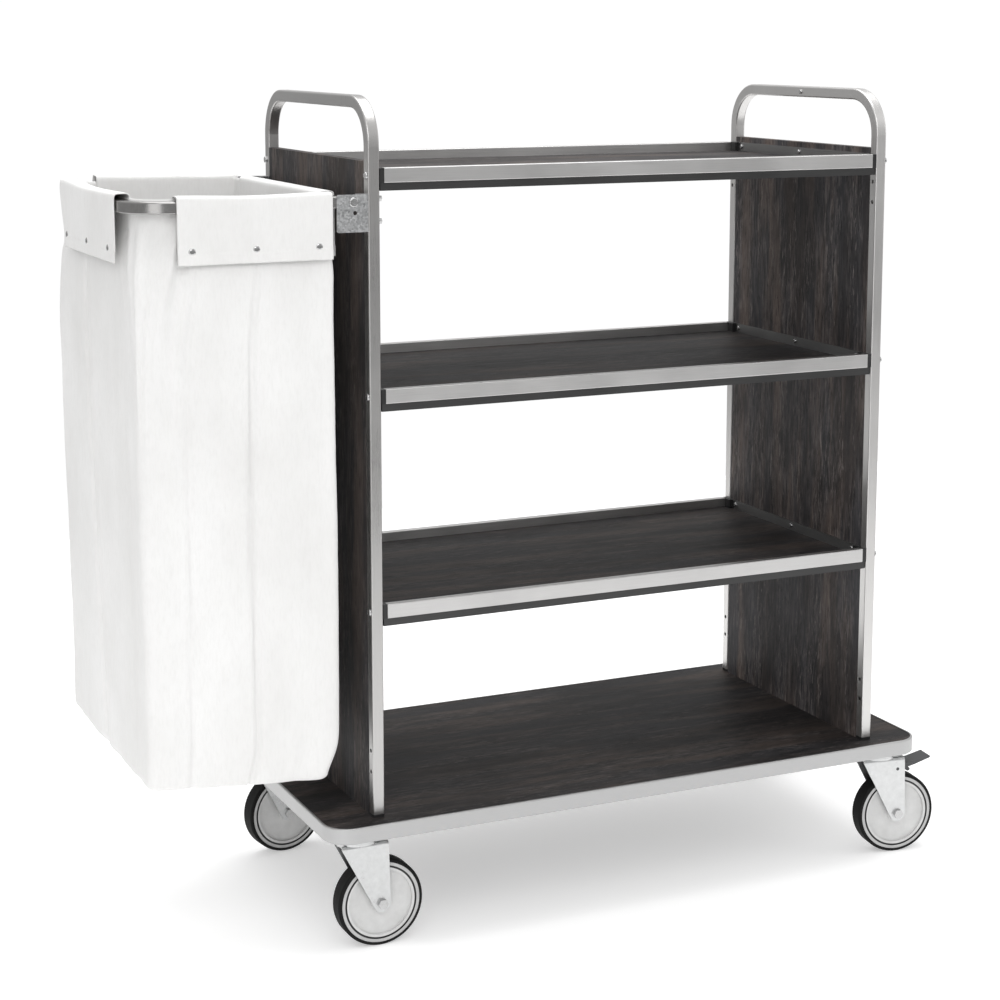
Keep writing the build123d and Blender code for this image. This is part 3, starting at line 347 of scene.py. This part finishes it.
LAMINATE_X = laminate("wenge_along", True, 1.25)
# Painted light: the side panels are brighter copies of the laminate, lit up in their colour in place of the light
# that the shelves and the bag keep off them.
LAMINATE_LEFT_PAINTED_LIGHT = laminate("wenge_left_panel", False, 1.65)
LAMINATE_RIGHT_PAINTED_LIGHT = laminate("wenge_right_panel", False, 2.70)
TUBE_STEEL_Z = metal("polished_tube_upright", 0.68, 0.33, 2, 0.06, 0.05, (1.0, 0.985, 0.97))
# Painted shade: the left end frame is a darker copy of the upright tube steel, darkened in place of the dimmer
# light on it.
TUBE_STEEL_LEFT_PAINTED_SHADE = metal("polished_tube_left", 0.52, 0.30, 2, 0.06, 0.05, (1.0, 0.985, 0.97))
# Painted reflection: the holder's level tubes are a much darker copy of the polished steel, standing in for the
# dark reflections along them.
TUBE_STEEL_X_PAINTED_DARK = metal("polished_tube_level", 0.38, 0.20, None, 0.06, 0.03, (1.0, 0.985, 0.97))
RAIL_STEEL_X = metal("satin_rail", 0.66, 0.36, 0, 0.08, 0.10, (1.0, 0.99, 0.98))
# Painted reflection: the end rails are a darker copy of the satin rail steel, standing in for the dark laminate
# they reflect.
RAIL_STEEL_Y_PAINTED_DARK = metal("satin_end_rail", 0.34, 0.34, 1, 0.08, 0.10)
# The channel under each shelf's front rail is coloured nearly black.
CHANNEL_STEEL = metal("dull_channel", 0.085, 0.45, 0, 0.12, 0.10)
TRIM = metal("edge_trim_profile", 0.52, 0.46, 0, 0.05, 0.08)
ZINC = metal("bright_zinc", 0.66, 0.30, None, 0.08, 0.08, (0.99, 1.0, 1.0))
BOLT = metal("bolt_steel", 0.60, 0.24, None, 0.12, 0.08)
STUD = metal("stud_nickel", 0.52, 0.14, None, 0.06, 0.03)
GALVANISED = galvanised()
BLACK_PLASTIC = plastic("black_corner_plastic", (0.012, 0.012, 0.0125), 0.42)
BUSH_PLASTIC = plastic("bush_nylon", (0.66, 0.66, 0.63), 0.45)
PEDAL_PLASTIC = plastic("pedal_grey", (0.060, 0.061, 0.064), 0.5)
RUBBER = tyre_rubber()
CANVAS = canvas("white_canvas")

SLOT_LOOKS = {
    "edge_trim": TRIM,
    "polished_steel": TUBE_STEEL_Z,
    "satin_steel": RAIL_STEEL_X,
    "channel_steel": CHANNEL_STEEL,
    "black_plastic": BLACK_PLASTIC,
    "bolt_steel": BOLT,
    "galvanised_steel": GALVANISED,
    "canvas": CANVAS,
    "stud_metal": STUD,
    "zinc_steel": ZINC,
    "bush_plastic": BUSH_PLASTIC,
    "tyre_rubber": RUBBER,
    "pedal_plastic": PEDAL_PLASTIC,
}
# The side panels, the left end frame and the holder's tubes take the copies with painted light, painted shade and
# painted reflection.
NODE_LOOKS = {
    "left_side_panel": LAMINATE_LEFT_PAINTED_LIGHT,
    "right_side_panel": LAMINATE_RIGHT_PAINTED_LIGHT,
    "left_end_frame": TUBE_STEEL_LEFT_PAINTED_SHADE,
    "bag_holder_tube": TUBE_STEEL_X_PAINTED_DARK,
    "bag_cross_tube": TUBE_STEEL_X_PAINTED_DARK,
}


# Axle direction of each wheel, from its joint.
SPIN_AXES = {
    joint["name"].replace("_spin", ""): joint["axis"]
    for joint in frame["joints"]
    if joint["name"].endswith("_wheel_spin")
}


def look_of(node, slot):
    if node in NODE_LOOKS:
        return NODE_LOOKS[node]
    if slot == "wood_laminate":
        return LAMINATE_X
    # End rails take the darker satin copy, which is painted reflection.
    if node.endswith("end_rails"):
        return RAIL_STEEL_Y_PAINTED_DARK
    if slot == "wheel_plastic":
        low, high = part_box(node)
        return wheel_plastic(f"{node}_plastic", (low + high) / 2, SPIN_AXES[node])
    return SLOT_LOOKS[slot]


SMOOTH_ANGLE = radians(32)

for part in frame["record"]["subparts"]:
    node = nodes_by_name[part["node"]]
    node.data.materials.clear()
    node.data.materials.append(look_of(part["node"], part["material_slot"]))
    node.data.polygons.foreach_set("use_smooth", [True] * len(node.data.polygons))
    node.data.set_sharp_from_angle(angle=SMOOTH_ANGLE)
    node.data.update()

# ---------------------------------------------------------------- laundry bag

CLOTH = 0.0016


def mesh_piece(name, points, faces, material, smooth=True):
    mesh = bpy.data.meshes.new(name)
    mesh.from_pydata(points, [], faces)
    mesh.materials.append(material)
    mesh.polygons.foreach_set("use_smooth", [smooth] * len(mesh.polygons))
    mesh.update()
    piece = bpy.data.objects.new(name, mesh)
    scene.collection.objects.link(piece)
    return piece


def thicken(piece, thickness):
    """Gives a single cloth layer its thickness on the inside of its faces, and keeps the result."""
    modifier = piece.modifiers.new("cloth", "SOLIDIFY")
    modifier.thickness = thickness
    modifier.offset = -1
    modifier.use_even_offset = False
    graph = bpy.context.evaluated_depsgraph_get()
    mesh = bpy.data.meshes.new_from_object(piece.evaluated_get(graph))
    piece.modifiers.clear()
    piece.data = mesh


def grid_faces(rows, columns, closed):
    """Quads between rows of points; closed joins the last column to the first."""
    faces = []
    for i in range(rows - 1):
        for k in range(columns if closed else columns - 1):
            n = (k + 1) % columns
            faces.append((i * columns + k, (i + 1) * columns + k, (i + 1) * columns + n, i * columns + n))
    return faces


def smoothstep(low, high, value):
    t = min(1, max(0, (value - low) / (high - low)))
    return t * t * (3 - 2 * t)


def bell(distance, width):
    return exp(-((distance / width) ** 2))


PLAY = 0.0006  # between the bag's wall and the tube beside it
INSIDE = TUBE + PLAY
MOUTH_LEFT = HOLDER[0].x + INSIDE
MOUTH_RIGHT = CROSS[0].x - PLAY
MOUTH_Y = HOLDER[1].y - INSIDE
BAG_TOP = BAG[1].z
BAG_BOTTOM = BAG[0].z
BODY_HEIGHT = BAG_TOP - BAG_BOTTOM

# The loaded floor hangs lower towards the cart, and a little lower at the front.
SAG_ALONG = 0.011
SAG_ACROSS = -0.0037

# The body hangs inside the holder, then swells towards the plane of the flaps below the tubes.
SWELL_LEFT = 0.014
SWELL_RIGHT = 0.009
SWELL_SIDE = 0.0185
COLUMNS_PER_SIDE = 72
ARC_STEPS = 12
ROWS = 170
BOTTOM_ROUND = 0.011
ROUND_STEPS = 5
FLOOR_RINGS = 14
FLOOR_DIP = 0.003
FLOOR_RIPPLE = 0.0035


def corner_round(depth, left):
    """Radius of an upright corner of the bag, by how far down it is."""
    at_mouth = 0.052 if left else 0.010
    return at_mouth + (0.013 - at_mouth) * smoothstep(0.03, 0.26, depth)


def outline(depth):
    """Level outline of the bag at a depth below its mouth: left and right sides, and half its width."""
    swell = smoothstep(0.018, 0.13, depth)
    narrow = smoothstep(0.30, 0.90, depth)
    tuck = smoothstep(BODY_HEIGHT - 0.095, BODY_HEIGHT, depth)
    left = MOUTH_LEFT - SWELL_LEFT * swell * (1 - 0.30 * narrow)
    right = MOUTH_RIGHT + SWELL_RIGHT * swell - 0.022 * tuck * tuck
    half_y = MOUTH_Y + SWELL_SIDE * swell * (1 - 0.15 * narrow)
    return left, right, half_y


def rounded_outline(left, right, half_y, left_radius, right_radius):
    """Points round a rounded rectangle, from the rear of its left side.
    Each comes with its side's name, how far along that side it is from 0 to 1, and its outward normal."""
    corners = (
        (left + left_radius, -half_y + left_radius, left_radius, pi),
        (right - right_radius, -half_y + right_radius, right_radius, 1.5 * pi),
        (right - right_radius, half_y - right_radius, right_radius, 2 * pi),
        (left + left_radius, half_y - left_radius, left_radius, 2.5 * pi),
    )
    names = ("left", "front", "right", "rear")
    points = []
    for i, (cx, cy, radius, start) in enumerate(corners):
        px, py, p_radius, p_start = corners[i - 1]
        p_end = p_start + pi / 2
        begin = Vector((px + p_radius * cos(p_end), py + p_radius * sin(p_end)))
        finish = Vector((cx + radius * cos(start), cy + radius * sin(start)))
        for k in range(COLUMNS_PER_SIDE):
            t = k / COLUMNS_PER_SIDE
            points.append((begin.lerp(finish, t), names[i], t, Vector((cos(start), sin(start)))))
        for k in range(ARC_STEPS):
            angle = start + pi / 2 * k / ARC_STEPS
            outward = Vector((cos(angle), sin(angle)))
            points.append((Vector((cx, cy)) + outward * radius, names[i] + "_corner", k / ARC_STEPS, outward))
    return points


def crease(side, t, depth):
    """How far the cloth stands out of its side, in metres: pressed folds, soft pleats and small dents."""
    below_flap = smoothstep(0.05, 0.20, depth)
    fan = (1 - smoothstep(0.10, 0.42, depth)) * smoothstep(0.012, 0.06, depth)
    out = 0.0
    if side == "front":
        fold = 0.58 + 0.006 * sin(9 * depth)
        out += 0.0046 * (1 - min(1, abs(t - fold) / 0.30)) * below_flap
        out -= 0.0072 * bell(t - fold + 0.024, 0.014) * below_flap
        out -= 0.0036 * bell(t - 0.205 - 0.01 * sin(5 * depth), 0.010) * below_flap
        out += 0.0060 * bell(t - 0.035 - 0.05 * depth, 0.028) * fan
        out -= 0.0085 * bell(t - 0.105 - 0.10 * depth, 0.036) * fan
        out -= 0.0022 * bell(t - 0.13 - 0.04 * depth, 0.050) * below_flap
        out += 0.0026 * bell(t - 0.31 - 0.03 * sin(6 * depth), 0.060) * below_flap
        out -= 0.0020 * bell(t - 0.86, 0.045) * below_flap
    elif side == "left":
        fold = 0.36 + 0.12 * depth
        out -= 0.0125 * bell(t - fold, 0.017) * below_flap
        out += 0.0036 * bell(t - fold - 0.085, 0.060) * below_flap
        out += 0.0030 * bell(t - fold + 0.12, 0.100) * below_flap
        out -= 0.0026 * bell(t - 0.84 - 0.05 * depth, 0.040) * below_flap
        out -= 0.0070 * bell(t - 0.93, 0.040) * fan
    elif side in ("left_corner", "rear_corner"):
        out -= (0.0085 * sin(pi * t) ** 2 * sin(3 * pi * t + 0.6)) * fan
    elif side == "rear":
        out += 0.0045 * (1 - min(1, abs(t - 0.46) / 0.36)) * below_flap
        out -= 0.0040 * bell(t - 0.50, 0.024) * below_flap
        out += 0.0022 * bell(t - 0.20, 0.070) * below_flap
        out -= 0.0070 * bell(t - 0.90, 0.045) * fan
    elif side == "right":
        out -= 0.0060 * bell(t - 0.48, 0.030) * below_flap
        out += 0.0024 * bell(t - 0.30, 0.110) * below_flap
    return out


def dents(x, y, z, depth):
    """Small uneven waves, longer along the height of the bag."""
    below_flap = smoothstep(0.02, 0.20, depth)
    broad = noise.noise(Vector((x * 8, y * 8, z * 1.8 + 3.0)))
    middle = noise.noise(Vector((x * 24 + 5, y * 24, z * 7)))
    fine = noise.noise(Vector((x * 70, y * 70 + 2, z * 34)))
    return (0.0034 * broad + 0.0014 * middle + 0.0004 * fine) * below_flap


def sag(x, y):
    """How far the floor of the bag hangs below its mean height."""
    along = (2 * x - MOUTH_LEFT - MOUTH_RIGHT) / (MOUTH_RIGHT - MOUTH_LEFT)
    return SAG_ALONG * along + SAG_ACROSS * y / MOUTH_Y


def body_ring(depth):
    """One level ring of the bag's cloth."""
    left, right, half_y = outline(depth)
    ring = []
    radii = corner_round(depth, True), corner_round(depth, False)
    for point, side, t, outward in rounded_outline(left, right, half_y, *radii):
        z = BAG_TOP - depth * (1 + sag(point.x, point.y) / BODY_HEIGHT)
        moved = point + outward * (crease(side, t, depth) + dents(point.x, point.y, z, depth))
        ring.append((moved.x, moved.y, z))
    return ring


def bag_body():
    """Walls down to the bottom edge, round it, and in to the middle of the floor."""
    wall_depth = BODY_HEIGHT - BOTTOM_ROUND
    rings = [body_ring(wall_depth * row / ROWS) for row in range(ROWS + 1)]
    last = rings[-1]
    middle_x = sum(p[0] for p in last) / len(last)
    half_x = (MOUTH_RIGHT - MOUTH_LEFT) / 2
    for step in range(1, ROUND_STEPS + 1):
        angle = pi / 2 * step / ROUND_STEPS
        shrink = BOTTOM_ROUND * (1 - cos(angle))
        across_x, across_y = 1 - shrink / half_x, 1 - shrink / MOUTH_Y
        drop = BOTTOM_ROUND * sin(angle)
        rings.append([(middle_x + (x - middle_x) * across_x, y * across_y, z - drop) for x, y, z in last])
    edge = rings[-1]
    for i in range(1, FLOOR_RINGS):
        t = 1 - i / FLOOR_RINGS
        ring = []
        for x, y, z in edge:
            fx, fy = middle_x + (x - middle_x) * t, y * t
            ripple = FLOOR_RIPPLE * noise.noise(Vector((fx * 14, fy * 14, 1.5)))
            ring.append((fx, fy, z + ripple - FLOOR_DIP * (1 - t * t)))
        rings.append(ring)
    columns = len(edge)
    points = [point for ring in rings for point in ring]
    faces = grid_faces(len(rings), columns, True)
    points.append((middle_x, 0, BAG_BOTTOM - FLOOR_DIP))
    start = (len(rings) - 1) * columns
    faces += [(start + k, len(points) - 1, start + (k + 1) % columns) for k in range(columns)]
    piece = mesh_piece("laundry_bag_body", points, faces, CANVAS)
    thicken(piece, CLOTH)
    return piece


FLAP_INSIDE = 0.040  # how far a flap runs down inside the bag
HEM = 0.016
FLAP_COLUMNS = 84
INNER_STEPS = 3
ARCH_STEPS = 22
ARCH_POWER = 0.36  # under 1, so that the arch follows the square tube and not a circle
SKIRT_STEPS = 34


class Flap:
    """A strip of cloth from inside the bag, over a tube and down its outside, with a hem along its edge."""

    def __init__(self, name, start, end, outward, puff, slant, seed):
        self.name = name
        self.start, self.end = Vector(start), Vector(end)  # ends of the tube's line under the flap
        self.outward = Vector(outward)
        self.half = FACE  # tube's line to the outer face of the cloth
        self.drop = DROP - FACE  # tube's line to the bottom of the hem
        self.puff = puff  # slack that stands above the tube at the start, middle and end
        self.slant = slant  # how far each end of the hem runs in from the end of the flap
        self.seed = seed

    def slack(self, t):
        a, b, c = self.puff
        ends = a * (1 - smoothstep(0.0, 0.5, t)) + c * smoothstep(0.5, 1.0, t)
        return ends + b * bell(t - 0.5, 0.28)

    def wave(self, t, down):
        """Waves of the skirt: none at the studs' level, more at the hem."""
        value = noise.noise(Vector((t * 5 + self.seed, down * 9, self.seed)))
        fine = noise.noise(Vector((t * 17 + self.seed, down * 26 + t * 8, 2 + self.seed)))
        free = smoothstep(0.0, 0.03, down) * (0.35 + 0.5 * smoothstep(0.080, self.drop, down))
        return (0.0011 * value + 0.0008 * fine) * free

    def at(self, t, step):
        """Point of the outer surface at t along the flap; steps run from inside the bag to the hem."""
        line = self.start.lerp(self.end, t)
        slack = self.slack(t)
        if step <= 0:
            return line - self.outward * self.half + Vector((0, 0, FLAP_INSIDE * step / INNER_STEPS))
        if step <= ARCH_STEPS:
            angle = pi * (1 - step / ARCH_STEPS)
            c, s = cos(angle), sin(angle)
            aside = (abs(c) ** ARCH_POWER) * (1 if c > 0 else -1) * self.half
            above = (max(0, s) ** ARCH_POWER) * (self.half + slack)
            return line + self.outward * aside + Vector((0, 0, above))
        down = (step - ARCH_STEPS) / SKIRT_STEPS
        fall = down * self.drop
        inward = self.slant[0] * (1 - t) - self.slant[1] * t
        along = (self.end - self.start).normalized() * inward * down
        near_hem = smoothstep(self.drop - HEM - 0.002, self.drop - HEM, fall)
        lift = self.wave(t, fall) + 0.0009 * near_hem
        return line + along + self.outward * (self.half + lift) + Vector((0, 0, -fall))

    def build(self):
        steps = range(-INNER_STEPS, ARCH_STEPS + SKIRT_STEPS + 1)
        points = [self.at(k / FLAP_COLUMNS, step) for step in steps for k in range(FLAP_COLUMNS + 1)]
        faces = grid_faces(len(steps), FLAP_COLUMNS + 1, False)
        along = (self.end - self.start).normalized()
        if along.cross(Vector((0, 0, 1))).dot(self.outward) > 0:
            faces = [tuple(reversed(face)) for face in faces]
        piece = mesh_piece(self.name, [tuple(p) for p in points], faces, CANVAS)
        thicken(piece, CLOTH)
        return piece

    def stitches(self, pitch=0.0042, length=0.0027):
        """Ends of each stitch in the two rows along the hem."""
        span = (self.end - self.start).length
        count = int(span * 0.97 / pitch)
        rows = []
        for inset in (0.0025, HEM - 0.003):
            down = (self.drop - inset) / self.drop
            step = ARCH_STEPS + down * SKIRT_STEPS
            for i in range(count):
                t = 0.015 + 0.97 * i / count
                rows.append((self.at(t, step), self.at(t + length / span, step), self.outward))
        return rows


THREAD_RADIUS = 0.00035
THREAD_SIDES = 5


def stitching(name, stitches):
    """Short threads that bulge out of the cloth between their ends."""
    points, faces = [], []
    for begin, finish, outward in stitches:
        along = (finish - begin).normalized()
        side = along.cross(outward)
        quarter, three_quarters = begin.lerp(finish, 0.25), begin.lerp(finish, 0.75)
        rings = ((begin, 0.4), (quarter, 1.0), (three_quarters, 1.0), (finish, 0.4))
        base = len(points)
        for centre, size in rings:
            for k in range(THREAD_SIDES):
                angle = 2 * pi * k / THREAD_SIDES
                spoke = side * cos(angle) + outward * sin(angle)
                points.append(tuple(centre + spoke * THREAD_RADIUS * size))
        for i in range(len(rings) - 1):
            low, high = base + i * THREAD_SIDES, base + (i + 1) * THREAD_SIDES
            for k in range(THREAD_SIDES):
                n = (k + 1) % THREAD_SIDES
                faces.append((low + k, low + n, high + n, high + k))
        last = base + (len(rings) - 1) * THREAD_SIDES
        faces.append(tuple(base + k for k in reversed(range(THREAD_SIDES))))
        faces.append(tuple(last + k for k in range(THREAD_SIDES)))
    return mesh_piece(name, points, faces, CANVAS)


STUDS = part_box("press_studs")
STUD_HEIGHT = 0.003
TUBE_Z = (HOLDER[0].z + HOLDER[1].z) / 2
ARM_Y = HOLDER[1].y - TUBE / 2
END_X = HOLDER[0].x + TUBE / 2
CROSS_X = (CROSS[0].x + CROSS[1].x) / 2
FACE = STUDS[1].y - STUD_HEIGHT - ARM_Y  # tube's line to the outer face of a flap
FRONT_FLAP = (END_X - TUBE / 2 + 0.073, CROSS[0].x + 0.002)
END_FLAP_HALF = 0.170
CART_FLAP_HALF = 0.200
DROP = 0.101  # top of a flap to the bottom of its hem

body = bag_body()
flaps = (
    Flap(
        "laundry_bag_front_flap",
        (FRONT_FLAP[0], -ARM_Y, TUBE_Z),
        (FRONT_FLAP[1], -ARM_Y, TUBE_Z),
        (0, -1, 0),
        puff=(0.004, 0.001, 0.003),
        slant=(0, 0),
        seed=1.0,
    ),
    Flap(
        "laundry_bag_rear_flap",
        (FRONT_FLAP[0], ARM_Y, TUBE_Z),
        (FRONT_FLAP[1], ARM_Y, TUBE_Z),
        (0, 1, 0),
        puff=(0.008, 0.006, 0.003),
        slant=(0, 0),
        seed=4.0,
    ),
    Flap(
        "laundry_bag_left_flap",
        (END_X, -END_FLAP_HALF, TUBE_Z),
        (END_X, END_FLAP_HALF, TUBE_Z),
        (-1, 0, 0),
        puff=(0.006, 0.004, 0.009),
        slant=(0, 0.030),
        seed=7.0,
    ),
    Flap(
        "laundry_bag_cart_flap",
        (CROSS_X, -CART_FLAP_HALF, TUBE_Z),
        (CROSS_X, CART_FLAP_HALF, TUBE_Z),
        (1, 0, 0),
        puff=(0.002, 0.002, 0.002),
        slant=(0, 0),
        seed=11.0,
    ),
)
bag_pieces = [body] + [flap.build() for flap in flaps]


STUD_PROFILE = (  # radius and height of the stud's outline, in millimetres, from its rim to its middle
    (7.4, 0.0), (7.5, 0.5), (7.3, 0.8), (7.1, 0.7), (6.9, 0.1), (6.5, 0.1), (6.3, 0.9), (5.8, 1.6),
    (5.0, 2.2), (4.0, 2.65), (2.6, 2.95), (1.2, 3.0),
)
STUD_SIDES = 28
SIDE_STUD_INSET = 0.023
END_STUD_INSET = 0.040
STUD_Z = BAG_TOP - 0.080


def press_studs():
    """Domed caps with a rim and a dimple, three on each flap."""
    middle = (FRONT_FLAP[0] + FRONT_FLAP[1]) / 2
    xs = (FRONT_FLAP[0] + SIDE_STUD_INSET, middle, FRONT_FLAP[1] - SIDE_STUD_INSET)
    ys = (END_STUD_INSET - END_FLAP_HALF, 0, END_FLAP_HALF - END_STUD_INSET)
    seats = [(Vector((x, j * (ARM_Y + FACE), STUD_Z)), Vector((0, j, 0))) for j in (-1, 1) for x in xs]
    seats += [(Vector((END_X - FACE, y, STUD_Z)), Vector((-1, 0, 0))) for y in ys]
    seats += [(Vector((CROSS_X + FACE, y, STUD_Z)), Vector((1, 0, 0))) for y in ys]
    points, faces = [], []
    for seat, outward in seats:
        side = outward.cross(Vector((0, 0, 1)))
        up = side.cross(outward)
        base = len(points)
        for radius, height in STUD_PROFILE:
            for k in range(STUD_SIDES):
                angle = 2 * pi * k / STUD_SIDES
                spoke = side * cos(angle) + up * sin(angle)
                points.append(tuple(seat + (spoke * radius + outward * height) / 1000))
        for i in range(len(STUD_PROFILE) - 1):
            for k in range(STUD_SIDES):
                n = (k + 1) % STUD_SIDES
                a, b = base + i * STUD_SIDES, base + (i + 1) * STUD_SIDES
                faces.append((a + k, b + k, b + n, a + n))
        faces.append(tuple(base + k for k in range(STUD_SIDES)))
        last = base + (len(STUD_PROFILE) - 1) * STUD_SIDES
        faces.append(tuple(last + k for k in reversed(range(STUD_SIDES))))
    return mesh_piece("press_stud_caps", points, faces, STUD)


studs = press_studs()
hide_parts("press_studs")
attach(studs, "bag_holder")
bag_pieces.append(stitching("laundry_bag_stitching", [s for flap in flaps for s in flap.stitches()]))
for piece in bag_pieces:
    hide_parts("laundry_bag")
    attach(piece, "bag_holder")
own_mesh(body)

# ---------------------------------------------------------------- camera, lights and floor

CAMERA_AT = Vector((CART_X - 1.7640, -3.4955, 1.5080))
CAMERA_PITCH = 0.1528
CAMERA_YAW = 0.4339
LENS_MM = 79.24
SENSOR_MM = 36.0
SHIFT_Y = -0.13

camera_data = bpy.data.cameras.new("camera")
camera_data.lens = LENS_MM
camera_data.sensor_width = SENSOR_MM
camera_data.shift_y = SHIFT_Y
camera = bpy.data.objects.new("camera", camera_data)
camera.location = CAMERA_AT
camera.rotation_euler = (pi / 2 - CAMERA_PITCH, 0, -CAMERA_YAW)
scene.collection.objects.link(camera)
scene.camera = camera


def area_light(name, at, target, size, power):
    data = bpy.data.lights.new(name, "AREA")
    data.shape = "RECTANGLE"
    data.size, data.size_y = size
    data.energy = power
    lamp = bpy.data.objects.new(name, data)
    lamp.location = at
    lamp.rotation_euler = (Vector(target) - Vector(at)).to_track_quat("-Z", "Y").to_euler()
    scene.collection.objects.link(lamp)


area_light("key", (-1.2, -3.2, 3.2), (0, 0, 0.6), (2.6, 2.0), 32)
area_light("low", (-2.7, -2.6, 1.1), (0.3, 0, 0.6), (1.6, 1.6), 10)
area_light("fill", (3.4, -1.6, 2.2), (0, 0, 0.7), (1.8, 2.4), 14)
area_light("top", (0.2, 0.4, 3.8), (0, 0, 0.6), (3.4, 2.6), 78)

# The camera sees plain white round the cart; everything else sees a studio with a pale ceiling and a
# dim room below the level of the floor.
world = bpy.data.worlds.new("studio")
scene.world = world
world.use_nodes = True
nodes, links = world.node_tree.nodes, world.node_tree.links
plain = nodes["Background"]
plain.inputs["Color"].default_value = (1, 1, 1, 1)
plain.inputs["Strength"].default_value = 1.02
room = nodes.new("ShaderNodeBackground")
room.inputs["Strength"].default_value = 1.0
direction = nodes.new("ShaderNodeTexCoord")
parts = nodes.new("ShaderNodeSeparateXYZ")
links.new(direction.outputs["Generated"], parts.inputs[0])
sky = nodes.new("ShaderNodeValToRGB")
stops = [(0.0, 0.34), (0.46, 0.40), (0.53, 0.52), (0.66, 0.68), (1.0, 0.85)]
while len(sky.color_ramp.elements) < len(stops):
    sky.color_ramp.elements.new(0.5)
for element, (position, value) in zip(sky.color_ramp.elements, stops):
    element.position = position
    element.color = (value, value, value, 1)
height = nodes.new("ShaderNodeMapRange")
height.inputs["From Min"].default_value = -1
links.new(parts.outputs["Z"], height.inputs["Value"])
links.new(height.outputs["Result"], sky.inputs["Fac"])
links.new(sky.outputs["Color"], room.inputs["Color"])
rays = nodes.new("ShaderNodeLightPath")
either = nodes.new("ShaderNodeMixShader")
links.new(rays.outputs["Is Camera Ray"], either.inputs["Fac"])
links.new(room.outputs["Background"], either.inputs[1])
links.new(plain.outputs["Background"], either.inputs[2])
links.new(either.outputs["Shader"], nodes["World Output"].inputs["Surface"])


def studio_floor():
    """Pale floor round the cart, a little self-lit so that its shadows stay soft and light."""
    look = Look("studio_floor")
    mottled = look.noise(look.point((3, 3, 3)), 1.0, 2, 0.5)
    look.set(Base_Color=look.ramp(mottled, [(0.3, grey(0.80)), (0.7, grey(0.82))]))
    look.set(Roughness=0.8)
    look.set(Specular_IOR_Level=0.1)
    look.set(Emission_Color=(1.0, 1.0, 1.0))
    look.set(Emission_Strength=0.40)
    half = 2.9
    corners = [(-half, -half, 0), (half, -half, 0), (half, half, 0), (-half, half, 0)]
    floor = mesh_piece("studio_floor", corners, [(0, 1, 2, 3)], look.material, False)


studio_floor()
scene.view_settings.view_transform = "Standard"
